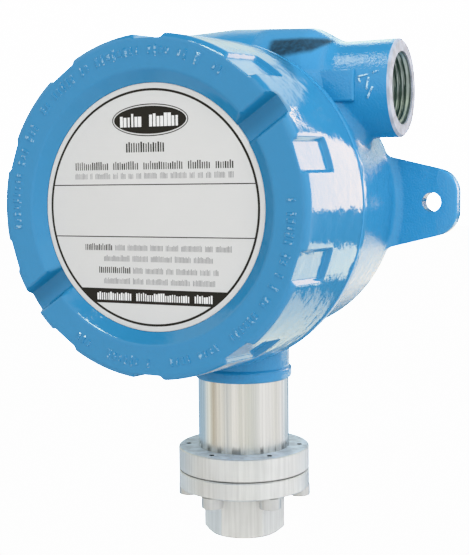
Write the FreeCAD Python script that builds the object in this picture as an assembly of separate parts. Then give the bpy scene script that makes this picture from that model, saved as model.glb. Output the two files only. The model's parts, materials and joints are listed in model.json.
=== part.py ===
"""Explosion-proof pressure switch: cast housing, screw cover, conduit hub and steel sensor stem.

Millimetres. The origin is the centre of the pressure port's mouth, +Z runs up the stem,
the cover faces -Y and the conduit hub points along +X.
"""
import FreeCAD, Part
import math
import os
from FreeCAD import Vector

# Clearances
FIT = 0.05            # radial, between pieces that are screwed or pushed together
RUNNING_FIT = 0.06    # radial, between a sliding piece and its guide
SEAL_GAP = 0.3        # round a seal that has to move freely
SEAL_SIDES = 8        # corners of a seal ring's section
OVERCUT = 1.0         # how far a cutter runs past the face it opens

# Pressure port: hexagon, female pipe thread, lower flange
PORT_ACROSS_FLATS = 28.0
PORT_HEX_LENGTH = 18.4
PORT_CHAMFER = 1.5
PORT_THREAD_R = 10.4
PORT_THREAD_LENGTH = 14.0
PORT_PASSAGE_R = 2.5
FLANGE_R = 26.0
EDGE_CHAMFER = 0.4
LOWER_FLANGE_T = 6.8
UPPER_FLANGE_T = 8.8

# Flange bolts: socket heads under the lower flange
BOLT_COUNT = 6
BOLT_CIRCLE_R = 22.1
BOLT_CLOCK_DEG = 20.6
BOLT_R = 2.5
BOLT_HEAD_R = 4.2
BOLT_HEAD_H = 4.4
BOLT_SOCKET_AF = 4.0
BOLT_SOCKET_DEPTH = 2.4
BOLT_TIP_DEPTH = 1.2
BOLT_PILOT_R = 1.0    # drilled through above the bolt's tip

# Diaphragm and its seal, clamped between the flanges
DIAPHRAGM_R = 18.5
DIAPHRAGM_T = 0.4
SEAL_RING_R = 14.6
SEAL_SECTION_R = 1.0

# Sensor stem: upper flange, tube and threaded spigot turned in one piece
STEM_R = 18.0
STEM_TUBE_LENGTH = 27.4
STEM_BORE_R = 10.0
SPIGOT_R = 13.0
SPIGOT_PROUD = 2.0    # above the lock nut
SPIGOT_CHAMFER = 0.8
STEM_RING_R = 15.5
STEM_RING_SECTION_R = 0.9

# Piston, push rod, range spring and adjusting nut inside the stem
PISTON_R = 11.0
PISTON_T = 5.0
PISTON_BOSS_R = 5.8
PISTON_BOSS_H = 4.0
STROKE = 0.8
ROD_R = 2.0
ROD_SEAT_DEPTH = 4.0
ROD_ABOVE_STEM = 6.0
SPRING_WIRE_W = 2.4
SPRING_WIRE_H = 2.6
SPRING_MEAN_R = 7.3
SPRING_LENGTH = 38.0
SPRING_TURNS = 6.0
SEAT_T = 2.0
SEAT_R = 9.4
NUT_H = 9.0
NUT_SLOT_W = 3.0
NUT_SLOT_DEPTH = 2.5
LOCK_NUT_AF = 36.0
LOCK_NUT_H = 6.0

# Housing drum about a horizontal axis, with a rim and a threaded mouth for the cover
CASE_RISE = 68.2      # case axis above the foot of the neck
RIM_FRONT_Y = -30.0
RIM_T = 4.0
RIM_R = 60.0
RIM_BACK_CHAMFER = 1.0
DRUM_FRONT_R = 56.5
DRUM_BACK_R = 53.0
DRUM_BACK_EDGE_R = 6.0
BACK_Y = 36.0
BACK_WALL = 6.5
CHAMBER_R = 46.0
CHAMBER_CORNER = 3.0
MOUTH_LENGTH = 20.0
MOUTH_R = 49.7
MOUTH_CHAMFER = 0.8
NECK_R = 18.4
NECK_LIP_R = 19.2
NECK_LIP_H = 4.0
NECK_LIP_EDGE_R = 1.2
NECK_PAD_R = 22.5
NECK_PAD_RISE = 6.0
CASTING_FILLET = 4.0

# Barrel boss on the drum's shoulder and the conduit hub that leaves it
HUB_RISE = 42.0       # hub axis above the case axis
HUB_MOUTH_X = 64.8
HUB_R = 17.85
HUB_THREAD_R = 13.2
HUB_THREAD_LENGTH = 24.0
HUB_THROAT_R = 10.2
HUB_CHAMFER = 0.8
BOSS_CROWN_R = 25.2
BOSS_END_R = 23.5
BOSS_HALF_LENGTH = 33.0
BOSS_SHOULDER = 10.0
BOSS_BACK_TAPER = 2.0
BOSS_BLEND_R = 9.0

# Mounting lugs level with the drum's back
LUG_T = 7.5
LUG_HOLE_X = 68.2
LUG_HOLE_R = 3.75
LUG_TIP_X = 78.2
LUG_TIP_HALF_H = 11.2
LUG_ROOT_X = 40.0
LUG_ROOT_HALF_H = 20.6
LUG_CORNER_R = 9.5

# Screw cover: skirt, finger notches, bar slots and the recess for the nameplate
SEAM_GAP = 0.4
COVER_R = 59.9
COVER_FRONT_R = 57.2
COVER_FRONT_Y = -76.0
COVER_EDGE_R = 2.5
COVER_REAR_CHAMFER = 0.8
COVER_WALL = 5.5
COVER_THREAD_GAP = 0.3
COVER_INNER_R = 47.0
PLATE_R = 41.25
PLATE_T = 0.8
PLATE_DEPTH = 3.65
RECESS_TOP_R = 45.5
RECESS_EDGE_R = 2.0
NOTCH_COUNT = 10
NOTCH_CLOCK_DEG = 17.0
NOTCH_W = 10.8
NOTCH_LENGTH = 22.0
NOTCH_REAR_R = 56.9
NOTCH_FRONT_R = 55.4
BAR_SLOT_CLOCK_DEG = 35.0
BAR_SLOT_W = 9.4
BAR_SLOT_DEPTH = 4.4
BAR_SLOT_EDGE_R = 2.0
COVER_RING_SECTION_R = 1.4

# Snap switch on its bracket, terminal block and earth screw inside the chamber
BRACKET_T = 1.5
BRACKET_HALF_W = 32.0
BRACKET_DROP = 28.5   # foot of the bracket below the case axis
BRACKET_H = 56.0
BRACKET_CORNER_R = 6.0
BRACKET_SCREW_X = 27.0
BRACKET_SCREW_HALF_PITCH = 19.0
BRACKET_BOSS_R = 5.0
SCREW_R = 1.5
SCREW_HEAD_R = 2.9
SCREW_HEAD_H = 2.0
SCREW_HEAD_CHAMFER = 0.6
SCREW_LENGTH = 8.0
SCREW_SLOT_W = 0.8
SCREW_SLOT_DEPTH = 1.0
SWITCH_L = 27.8
SWITCH_W = 10.3
SWITCH_H = 15.9
SWITCH_PLUNGER_INSET = 8.6
SWITCH_HOLE_PITCH_X = 22.2
SWITCH_HOLE_PITCH_Z = 9.0
PLUNGER_R = 1.6
PLUNGER_OUT = 2.4
PLUNGER_IN = 3.0
TAB_W = 4.8
TAB_T = 0.8
TAB_H = 7.0
TAB_PITCH = 9.0
BLOCK_POLES = 3
BLOCK_POLE_PITCH = 10.0
BLOCK_END_W = 8.0
BLOCK_H = 20.0
BLOCK_FLOOR = 8.0
BLOCK_BARRIER_H = 13.0
BLOCK_BARRIER_W = 1.6
BLOCK_ABOVE_SWITCH = 13.5
PLATE_TERMINAL_W = 7.0
PLATE_TERMINAL_H = 19.6
PLATE_TERMINAL_T = 1.0
TERMINAL_SCREW_HALF_PITCH = 4.6
TERMINAL_SCREW_LENGTH = 5.0
LEAD_R = 0.9
LEAD_RISE = 1.2
LEAD_FOOT = 1.4
EARTH_X = -38.5
EARTH_BOSS_R = 5.5
EARTH_BOSS_H = 6.0
EARTH_SCREW_R = 2.0
EARTH_HEAD_R = 3.6
EARTH_HEAD_H = 2.6
EARTH_SCREW_LENGTH = 8.0
EARTH_WASHER_R = 4.6
EARTH_WASHER_T = 1.0

# Levels worked out from the sizes above
LOWER_FLANGE_TOP = PORT_HEX_LENGTH + LOWER_FLANGE_T
UPPER_FLANGE_Z = LOWER_FLANGE_TOP + DIAPHRAGM_T
UPPER_FLANGE_TOP = UPPER_FLANGE_Z + UPPER_FLANGE_T
BOLT_TIP_Z = UPPER_FLANGE_TOP - BOLT_TIP_DEPTH
NECK_Z = UPPER_FLANGE_TOP + STEM_TUBE_LENGTH
CASE_Z = NECK_Z + CASE_RISE
HUB_Z = CASE_Z + HUB_RISE
PAD_Z = CASE_Z - CHAMBER_R + NECK_PAD_RISE
STEM_TOP = PAD_Z + LOCK_NUT_H + SPIGOT_PROUD
PISTON_TOP = UPPER_FLANGE_Z + PISTON_T
SPRING_Z = PISTON_TOP
SEAT_Z = SPRING_Z + SPRING_LENGTH
NUT_Z = SEAT_Z + SEAT_T
ROD_TOP = STEM_TOP + ROD_ABOVE_STEM
RIM_BACK_Y = RIM_FRONT_Y + RIM_T
MOUTH_Y = RIM_FRONT_Y - MOUTH_LENGTH
CHAMBER_BACK_Y = BACK_Y - BACK_WALL
COVER_BACK_Y = RIM_FRONT_Y - SEAM_GAP
PLATE_FACE_Y = COVER_FRONT_Y + PLATE_DEPTH
RECESS_Y = PLATE_FACE_Y + PLATE_T
COVER_INNER_Y = RECESS_Y + COVER_WALL
COVER_THREAD_R = MOUTH_R + COVER_THREAD_GAP
COVER_THREAD_END_Y = MOUTH_Y - 2 * SEAL_GAP
COVER_RING_R = MOUTH_R + SEAL_GAP + COVER_RING_SECTION_R
RING_GROOVE_R = COVER_RING_R + COVER_RING_SECTION_R + SEAL_GAP
COVER_RING_Y = RIM_FRONT_Y - SEAL_GAP - COVER_RING_SECTION_R
RING_GROOVE_Y = COVER_RING_Y - COVER_RING_SECTION_R - SEAL_GAP
SWITCH_Z = ROD_TOP + PLUNGER_OUT
SWITCH_TOP = SWITCH_Z + SWITCH_H
SWITCH_X = SWITCH_L / 2 - SWITCH_PLUNGER_INSET
BRACKET_Y = SWITCH_W / 2
BRACKET_BACK_Y = BRACKET_Y + BRACKET_T
BRACKET_BOTTOM_Z = CASE_Z - BRACKET_DROP
BRACKET_MID_Z = BRACKET_BOTTOM_Z + BRACKET_H / 2
BLOCK_Z = SWITCH_TOP + BLOCK_ABOVE_SWITCH
BLOCK_MID_Z = BLOCK_Z + BLOCK_H / 2
BLOCK_L = BLOCK_POLES * BLOCK_POLE_PITCH + 2 * BLOCK_END_W
BLOCK_FACE_Y = BRACKET_Y - BLOCK_FLOOR
TERMINAL_FACE_Y = BLOCK_FACE_Y - PLATE_TERMINAL_T
EARTH_FACE_Y = CHAMBER_BACK_Y - EARTH_BOSS_H

X_AXIS = Vector(1, 0, 0)
Y_AXIS = Vector(0, 1, 0)
Z_AXIS = Vector(0, 0, 1)
CASE_CENTRE = Vector(0, 0, CASE_Z)
RIGHT_CORNERS = 1     # mitred corners along a swept path


def outline(corners, place):
    """Closed wire through corners (a, b), (a, b, radius) or (a, b, -chamfer), put in space by place."""
    points = [Vector(corner[0], corner[1], 0) for corner in corners]
    sizes = [corner[2] if len(corner) > 2 else 0.0 for corner in corners]
    stops = []
    for index, corner in enumerate(points):
        before = (points[index - 1] - corner).normalize()
        after = (points[(index + 1) % len(points)] - corner).normalize()
        size = sizes[index]
        if size == 0.0:
            stops.append((corner, None, corner))
            continue
        half = before.getAngle(after) / 2
        reach = -size if size < 0 else size / math.tan(half)
        middle = None
        if size > 0:
            bisector = (before + after).normalize()
            middle = corner + bisector * (size / math.sin(half) - size)
        stops.append((corner + before * reach, middle, corner + after * reach))
    edges = []
    for index, (start, middle, end) in enumerate(stops):
        following = stops[(index + 1) % len(stops)][0]
        if middle is not None:
            edges.append(Part.Arc(place(start), place(middle), place(end)).toShape())
        elif start.distanceToPoint(end) > 1e-6:
            edges.append(Part.makeLine(place(start), place(end)))
        if end.distanceToPoint(following) > 1e-6:
            edges.append(Part.makeLine(place(end), place(following)))
    return Part.Wire(edges)


def turned(corners, origin, axis, outward):
    """Solid of revolution about axis; corners are (radius, distance along the axis)."""
    wire = outline(corners, lambda p: origin + outward * p.x + axis * p.y)
    return Part.Face(wire).revolve(origin, axis, 360)


def turned_z(corners):
    """Solid turned about the stem axis; corners are (radius, z)."""
    return turned(corners, Vector(), Z_AXIS, X_AXIS)


def turned_y(corners):
    """Solid turned about the case axis; corners are (radius, y)."""
    return turned(corners, CASE_CENTRE, Y_AXIS, X_AXIS)


def turned_x(corners):
    """Solid turned about the hub axis; corners are (radius, x)."""
    return turned(corners, Vector(0, 0, HUB_Z), X_AXIS, -Z_AXIS)


def plate_xz(corners, front_y, thickness):
    """Flat plate with its outline in (x, z), from front_y towards +Y."""
    wire = outline(corners, lambda p: Vector(p.x, front_y, p.y))
    return Part.Face(wire).extrude(Y_AXIS * thickness)


def cylinder_y(x, z, radius, front_y, back_y):
    """Round bar along Y between two levels."""
    return Part.makeCylinder(radius, back_y - front_y, Vector(x, front_y, z), Y_AXIS)


def seal_section(ring_r, section_r, level):
    """Many-sided section of a seal ring, flat at the top, as (radius, level) corners."""
    angles = [2 * math.pi * (index + 0.5) / SEAL_SIDES for index in range(SEAL_SIDES)]
    return [(ring_r + section_r * math.cos(angle), level + section_r * math.sin(angle)) for angle in angles]


def hexagon(across_flats, z, height, clock_deg):
    """Upright hexagonal prism on the stem axis with a corner at clock_deg."""
    corner_r = across_flats / 2 / math.cos(math.pi / 6)
    angles = [math.radians(clock_deg + 60 * index) for index in range(7)]
    points = [Vector(corner_r * math.cos(angle), corner_r * math.sin(angle), z) for angle in angles]
    return Part.Face(Part.makePolygon(points)).extrude(Z_AXIS * height)


def box(x0, x1, y0, y1, z0, z1):
    """Block between two corners."""
    return Part.makeBox(x1 - x0, y1 - y0, z1 - z0, Vector(x0, y0, z0))


def bolt_places():
    """Centres of the flange bolts on their circle."""
    angles = [math.radians(BOLT_CLOCK_DEG + 360 / BOLT_COUNT * index) for index in range(BOLT_COUNT)]
    return [Vector(BOLT_CIRCLE_R * math.cos(angle), BOLT_CIRCLE_R * math.sin(angle), 0) for angle in angles]


def screw_y(x, z, face_y, shank_r, head_r, head_h, length):
    """Slotted screw driven along +Y with its chamfered head on face_y."""
    top_y = face_y - head_h
    profile = [(0, top_y), (head_r, top_y, -SCREW_HEAD_CHAMFER), (head_r, face_y), (shank_r, face_y),
               (shank_r, face_y + length), (0, face_y + length)]
    screw = turned(profile, Vector(x, 0, z), Y_AXIS, X_AXIS)
    slot = box(x - head_r, x + head_r, top_y - OVERCUT, top_y + SCREW_SLOT_DEPTH,
               z - SCREW_SLOT_W / 2, z + SCREW_SLOT_W / 2)
    return screw.cut(slot)


def bored(shape, cutters):
    """The shape with every cutter taken out."""
    for cutter in cutters:
        shape = shape.cut(cutter)
    return shape


def bracket_screw_places():
    """Corners of the bracket's screw rectangle as (x, z)."""
    return [(side * BRACKET_SCREW_X, BRACKET_MID_Z + level * BRACKET_SCREW_HALF_PITCH)
            for side in (-1, 1) for level in (-1, 1)]


def switch_hole_places():
    """The snap switch's two diagonal fixing holes as (x, z)."""
    middle_z = SWITCH_Z + SWITCH_H / 2
    return [(SWITCH_X + side * SWITCH_HOLE_PITCH_X / 2, middle_z + side * SWITCH_HOLE_PITCH_Z / 2)
            for side in (-1, 1)]


def tab_places():
    """Middles of the snap switch's terminal tabs along X."""
    return [SWITCH_X + index * TAB_PITCH for index in (-1, 0, 1)]


def pole_places():
    """Middles of the terminal block's poles along X."""
    first = -(BLOCK_POLES - 1) / 2 * BLOCK_POLE_PITCH
    return [first + index * BLOCK_POLE_PITCH for index in range(BLOCK_POLES)]


def block_screw_places():
    """Middles of the terminal block's two ends along X."""
    reach = (BLOCK_L - BLOCK_END_W) / 2
    return [-reach, reach]


def make_pressure_port():
    """Hexagonal port with a turned chamfer, lower flange, thread bore and seal groove."""
    hexagonal = hexagon(PORT_ACROSS_FLATS, 0, PORT_HEX_LENGTH, BOLT_CLOCK_DEG)
    flat_r = PORT_ACROSS_FLATS / 2
    corner_r = flat_r / math.cos(math.pi / 6)
    bevelled = turned_z([(0, 0), (flat_r, 0), (corner_r + OVERCUT, PORT_CHAMFER),
                         (corner_r + OVERCUT, PORT_HEX_LENGTH), (0, PORT_HEX_LENGTH)])
    flange = turned_z([(0, PORT_HEX_LENGTH), (FLANGE_R, PORT_HEX_LENGTH, -EDGE_CHAMFER),
                       (FLANGE_R, LOWER_FLANGE_TOP, -EDGE_CHAMFER), (0, LOWER_FLANGE_TOP)])
    port = hexagonal.common(bevelled).fuse(flange).removeSplitter()
    thread = Part.makeCylinder(PORT_THREAD_R, PORT_THREAD_LENGTH + OVERCUT, Vector(0, 0, -OVERCUT))
    passage = Part.makeCylinder(PORT_PASSAGE_R, LOWER_FLANGE_TOP, Vector(0, 0, OVERCUT))
    groove_depth = 2 * SEAL_SECTION_R + FIT
    groove_half_w = SEAL_SECTION_R + SEAL_GAP
    groove = turned_z([(SEAL_RING_R - groove_half_w, LOWER_FLANGE_TOP - groove_depth),
                       (SEAL_RING_R + groove_half_w, LOWER_FLANGE_TOP - groove_depth),
                       (SEAL_RING_R + groove_half_w, LOWER_FLANGE_TOP + OVERCUT),
                       (SEAL_RING_R - groove_half_w, LOWER_FLANGE_TOP + OVERCUT)])
    holes = [Part.makeCylinder(BOLT_R + FIT, LOWER_FLANGE_T + 2 * OVERCUT,
                               place + Z_AXIS * (PORT_HEX_LENGTH - OVERCUT)) for place in bolt_places()]
    return bored(port, [thread, passage, groove] + holes)


def make_diaphragm_o_ring():
    """Seal ring in the port's groove, under the diaphragm."""
    return turned_z(seal_section(SEAL_RING_R, SEAL_SECTION_R, LOWER_FLANGE_TOP - SEAL_SECTION_R - FIT / 2))


def make_diaphragm():
    """Flat metal diaphragm clamped between the flanges."""
    return Part.makeCylinder(DIAPHRAGM_R, DIAPHRAGM_T, Vector(0, 0, LOWER_FLANGE_TOP))


def make_sensor_stem():
    """Upper flange, tube and spigot in one turned piece, bored for the piston and the spring."""
    guide_top = PISTON_TOP + STROKE
    guide_r = PISTON_R + RUNNING_FIT
    stem = turned_z([(guide_r, UPPER_FLANGE_Z), (FLANGE_R, UPPER_FLANGE_Z, -EDGE_CHAMFER),
                     (FLANGE_R, UPPER_FLANGE_TOP, -EDGE_CHAMFER), (STEM_R, UPPER_FLANGE_TOP),
                     (STEM_R, NECK_Z), (SPIGOT_R, NECK_Z), (SPIGOT_R, STEM_TOP, -SPIGOT_CHAMFER),
                     (STEM_BORE_R, STEM_TOP), (STEM_BORE_R, guide_top), (guide_r, guide_top)])
    groove_depth = 2 * STEM_RING_SECTION_R + FIT
    groove_half_w = STEM_RING_SECTION_R + SEAL_GAP
    groove = turned_z([(STEM_RING_R - groove_half_w, NECK_Z - groove_depth),
                       (STEM_RING_R + groove_half_w, NECK_Z - groove_depth),
                       (STEM_RING_R + groove_half_w, NECK_Z + OVERCUT),
                       (STEM_RING_R - groove_half_w, NECK_Z + OVERCUT)])
    holes = []
    for place in bolt_places():
        foot = place + Z_AXIS * (UPPER_FLANGE_Z - OVERCUT)
        holes.append(Part.makeCylinder(BOLT_R + FIT, BOLT_TIP_Z + FIT - foot.z, foot))
        holes.append(Part.makeCylinder(BOLT_PILOT_R, UPPER_FLANGE_TOP + OVERCUT - foot.z, foot))
    return bored(stem, [groove] + holes)


def make_stem_o_ring():
    """Seal ring in the stem's shoulder, under the housing's neck."""
    return turned_z(seal_section(STEM_RING_R, STEM_RING_SECTION_R, NECK_Z - STEM_RING_SECTION_R - FIT / 2))


def make_flange_bolts():
    """Socket-head screws up through the lower flange into the upper one."""
    bolts = []
    head_z = PORT_HEX_LENGTH - BOLT_HEAD_H
    socket = hexagon(BOLT_SOCKET_AF, head_z - OVERCUT, BOLT_SOCKET_DEPTH + OVERCUT, 0)
    profile = [(0, head_z), (BOLT_HEAD_R, head_z, -EDGE_CHAMFER), (BOLT_HEAD_R, PORT_HEX_LENGTH),
               (BOLT_R, PORT_HEX_LENGTH), (BOLT_R, BOLT_TIP_Z, -EDGE_CHAMFER), (0, BOLT_TIP_Z)]
    bolt = turned_z(profile).cut(socket)
    for place in bolt_places():
        bolts.append(bolt.translated(place))
    return Part.makeCompound(bolts)


def make_piston():
    """Pressure pad on the diaphragm, with a boss that centres the spring and holds the rod."""
    piston = turned_z([(0, UPPER_FLANGE_Z), (PISTON_R, UPPER_FLANGE_Z, -EDGE_CHAMFER),
                       (PISTON_R, PISTON_TOP, -EDGE_CHAMFER), (PISTON_BOSS_R, PISTON_TOP),
                       (PISTON_BOSS_R, PISTON_TOP + PISTON_BOSS_H, -EDGE_CHAMFER),
                       (0, PISTON_TOP + PISTON_BOSS_H)])
    seat = Part.makeCylinder(ROD_R + FIT, ROD_SEAT_DEPTH + OVERCUT,
                             Vector(0, 0, PISTON_TOP + PISTON_BOSS_H - ROD_SEAT_DEPTH))
    return piston.cut(seat)


def make_push_rod():
    """Rod from the piston, up through the spring and the nut, to the snap switch."""
    foot = PISTON_TOP + PISTON_BOSS_H - ROD_SEAT_DEPTH
    return turned_z([(0, foot), (ROD_R, foot, -EDGE_CHAMFER), (ROD_R, ROD_TOP, -EDGE_CHAMFER),
                     (0, ROD_TOP)])


def make_range_spring():
    """Compression spring of rectangular wire between the piston and the spring seat."""
    half_w = SPRING_WIRE_W / 2
    half_h = SPRING_WIRE_H / 2
    height = SPRING_LENGTH - 2 * (half_h + FIT)
    helix = Part.makeHelix(height / SPRING_TURNS, height, SPRING_MEAN_R)
    inner_r = SPRING_MEAN_R - half_w
    outer_r = SPRING_MEAN_R + half_w
    section = outline([(inner_r, -half_h), (outer_r, -half_h), (outer_r, half_h), (inner_r, half_h)],
                      lambda p: Vector(p.x, 0, p.y))
    coil = Part.Wire(helix).makePipeShell([section], True, True)
    return coil.translated(Vector(0, 0, SPRING_Z + FIT + half_h))


def make_spring_seat():
    """Washer between the spring and the nut, with a spigot inside the coil."""
    hole_r = ROD_R + SEAL_GAP
    return turned_z([(hole_r, SEAT_Z - SEAT_T), (PISTON_BOSS_R, SEAT_Z - SEAT_T), (PISTON_BOSS_R, SEAT_Z),
                     (SEAT_R, SEAT_Z), (SEAT_R, NUT_Z), (hole_r, NUT_Z)])


def make_adjusting_nut():
    """Round nut in the stem's bore with two spanner slots; turning it loads the spring."""
    top = NUT_Z + NUT_H
    outer_r = STEM_BORE_R - RUNNING_FIT
    nut = turned_z([(ROD_R + SEAL_GAP, NUT_Z), (outer_r, NUT_Z, -EDGE_CHAMFER),
                    (outer_r, top, -EDGE_CHAMFER), (ROD_R + SEAL_GAP, top)])
    slot = box(-STEM_BORE_R, STEM_BORE_R, -NUT_SLOT_W / 2, NUT_SLOT_W / 2, top - NUT_SLOT_DEPTH,
               top + OVERCUT)
    return nut.cut(slot)


def make_stem_lock_nut():
    """Hexagon nut that draws the stem's shoulder up against the neck."""
    blank = hexagon(LOCK_NUT_AF, PAD_Z, LOCK_NUT_H, 0)
    flat_r = LOCK_NUT_AF / 2
    corner_r = flat_r / math.cos(math.pi / 6)
    top = PAD_Z + LOCK_NUT_H
    bevelled = turned_z([(SPIGOT_R + FIT, PAD_Z), (corner_r + OVERCUT, PAD_Z),
                         (corner_r + OVERCUT, top - PORT_CHAMFER), (flat_r, top), (SPIGOT_R + FIT, top)])
    return blank.common(bevelled)


def lug(side):
    """Tapered mounting lug on one side of the drum, with rounded tip corners."""
    corners = [(side * LUG_ROOT_X, CASE_Z - LUG_ROOT_HALF_H),
               (side * LUG_TIP_X, CASE_Z - LUG_TIP_HALF_H, LUG_CORNER_R),
               (side * LUG_TIP_X, CASE_Z + LUG_TIP_HALF_H, LUG_CORNER_R),
               (side * LUG_ROOT_X, CASE_Z + LUG_ROOT_HALF_H)]
    return plate_xz(corners, BACK_Y - LUG_T, LUG_T)


def drum():
    """Turned form of the drum with its rim and its mouth."""
    return turned_y([(0, MOUTH_Y), (MOUTH_R, MOUTH_Y, -MOUTH_CHAMFER), (MOUTH_R, RIM_FRONT_Y),
                     (RIM_R, RIM_FRONT_Y, -EDGE_CHAMFER), (RIM_R, RIM_BACK_Y, -RIM_BACK_CHAMFER),
                     (DRUM_FRONT_R, RIM_BACK_Y), (DRUM_BACK_R, BACK_Y, DRUM_BACK_EDGE_R), (0, BACK_Y)])


def boss_and_hub():
    """Crowned barrel on the drum's shoulder, running down to the round conduit hub."""
    shoulder_x = BOSS_HALF_LENGTH + BOSS_SHOULDER
    return turned_x([(0, -shoulder_x), (BOSS_END_R, -shoulder_x + BOSS_BACK_TAPER, BOSS_BLEND_R),
                     (BOSS_CROWN_R, 0), (BOSS_END_R, BOSS_HALF_LENGTH, BOSS_BLEND_R),
                     (HUB_R, shoulder_x, BOSS_BLEND_R), (HUB_R, HUB_MOUTH_X, -HUB_CHAMFER),
                     (0, HUB_MOUTH_X)])


def neck():
    """Round neck with a rolled lip, down from the drum to the stem's shoulder."""
    lip_top = NECK_Z + NECK_LIP_H
    return turned_z([(0, NECK_Z), (NECK_LIP_R, NECK_Z, NECK_LIP_EDGE_R),
                     (NECK_LIP_R, lip_top, NECK_LIP_EDGE_R), (NECK_R, lip_top + NECK_LIP_R - NECK_R),
                     (NECK_R, PAD_Z), (0, PAD_Z)])


def chamber():
    """Wiring chamber, less the pad and the bosses that stand in it."""
    hollow = turned_y([(0, MOUTH_Y - OVERCUT), (CHAMBER_R, MOUTH_Y - OVERCUT),
                       (CHAMBER_R, CHAMBER_BACK_Y, -CHAMBER_CORNER), (0, CHAMBER_BACK_Y)])
    pad = Part.makeCylinder(NECK_PAD_R, NECK_PAD_RISE + OVERCUT,
                            Vector(0, 0, PAD_Z - NECK_PAD_RISE - OVERCUT))
    bosses = [cylinder_y(x, z, BRACKET_BOSS_R, BRACKET_BACK_Y, CHAMBER_BACK_Y + OVERCUT)
              for x, z in bracket_screw_places()]
    earth = cylinder_y(EARTH_X, CASE_Z, EARTH_BOSS_R, EARTH_FACE_Y, CHAMBER_BACK_Y + OVERCUT)
    return bored(hollow, [pad, earth] + bosses)


def is_drum_side(face):
    """Whether a face of the casting is part of the drum's side or its rounded back edge."""
    surface = face.Surface
    if isinstance(surface, Part.Plane) or not hasattr(surface, "Center"):
        return False
    about_case = math.hypot(surface.Axis.x, surface.Axis.z) < FIT and abs(surface.Center.x) < FIT
    return about_case and face.BoundBox.YMin > RIM_BACK_Y - OVERCUT


def junctions(casting):
    """Edges where the drum's side meets the neck, the boss or a lug."""
    edges = []
    for edge in casting.Edges:
        sides = [is_drum_side(face) for face in casting.ancestorsOfType(edge, Part.Face)]
        bounds = edge.BoundBox
        to_end_plane = min(abs(bounds.Center.y - RIM_BACK_Y), abs(bounds.Center.y - BACK_Y))
        drum_ring = bounds.YLength < FIT and to_end_plane < FIT
        if sides.count(True) == 1 and not drum_ring and len(sides) == 2:
            edges.append(edge)
    return edges


def make_housing():
    """One casting: drum, barrel boss, conduit hub, neck and lugs, hollowed for the wiring chamber."""
    rough = drum().fuse([neck(), lug(-1), lug(1), boss_and_hub()]).removeSplitter().Solids[0]
    casting = rough.makeFillet(CASTING_FILLET, junctions(rough))
    hub_thread = Part.makeCylinder(HUB_THREAD_R, HUB_THREAD_LENGTH + OVERCUT,
                                   Vector(HUB_MOUTH_X - HUB_THREAD_LENGTH, 0, HUB_Z), X_AXIS)
    throat = Part.makeCylinder(HUB_THROAT_R, HUB_MOUTH_X, Vector(0, 0, HUB_Z), X_AXIS)
    neck_bore = Part.makeCylinder(SPIGOT_R + FIT, PAD_Z - NECK_Z + 2 * OVERCUT,
                                  Vector(0, 0, NECK_Z - OVERCUT))
    lug_front_y = BACK_Y - LUG_T
    lug_holes = [cylinder_y(side * LUG_HOLE_X, CASE_Z, LUG_HOLE_R, lug_front_y - OVERCUT, BACK_Y + OVERCUT)
                 for side in (-1, 1)]
    screw_holes = [cylinder_y(x, z, SCREW_R + FIT, BRACKET_BACK_Y - OVERCUT, BRACKET_BACK_Y + SCREW_LENGTH)
                   for x, z in bracket_screw_places()]
    earth_hole = cylinder_y(EARTH_X, CASE_Z, EARTH_SCREW_R + FIT, EARTH_FACE_Y - OVERCUT,
                            EARTH_FACE_Y + EARTH_SCREW_LENGTH)
    return bored(casting, [chamber(), hub_thread, throat, neck_bore, earth_hole] + lug_holes + screw_holes)


def notch(index):
    """Cutter for one finger notch in the cover's rim, deeper towards the front."""
    rear_y = COVER_FRONT_Y + NOTCH_LENGTH
    outer_r = COVER_R + OVERCUT
    wire = outline([(NOTCH_REAR_R, rear_y), (NOTCH_FRONT_R, COVER_FRONT_Y - OVERCUT),
                    (outer_r, COVER_FRONT_Y - OVERCUT), (outer_r, rear_y)],
                   lambda p: Vector(p.x, p.y, CASE_Z - NOTCH_W / 2))
    cutter = Part.Face(wire).extrude(Z_AXIS * NOTCH_W)
    cutter.rotate(CASE_CENTRE, Y_AXIS, -(NOTCH_CLOCK_DEG + 360 / NOTCH_COUNT * index))
    return cutter


def bar_slot(clock_deg):
    """Cutter for one slot across the cover's front, with rounded flanks, for a bar to turn it by."""
    half_w = BAR_SLOT_W / 2
    open_half_w = half_w + BAR_SLOT_EDGE_R
    floor_y = COVER_FRONT_Y + BAR_SLOT_DEPTH
    corners = [(-open_half_w, COVER_FRONT_Y - OVERCUT), (-open_half_w, COVER_FRONT_Y),
               (-half_w, COVER_FRONT_Y, BAR_SLOT_EDGE_R), (-half_w, floor_y, BAR_SLOT_EDGE_R / 2),
               (half_w, floor_y, BAR_SLOT_EDGE_R / 2), (half_w, COVER_FRONT_Y, BAR_SLOT_EDGE_R),
               (open_half_w, COVER_FRONT_Y), (open_half_w, COVER_FRONT_Y - OVERCUT)]
    wire = outline(corners, lambda p: Vector(PLATE_R + FIT, p.y, CASE_Z + p.x))
    cutter = Part.Face(wire).extrude(X_AXIS * (COVER_R - PLATE_R + OVERCUT))
    cutter.rotate(CASE_CENTRE, Y_AXIS, -clock_deg)
    return cutter


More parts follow.
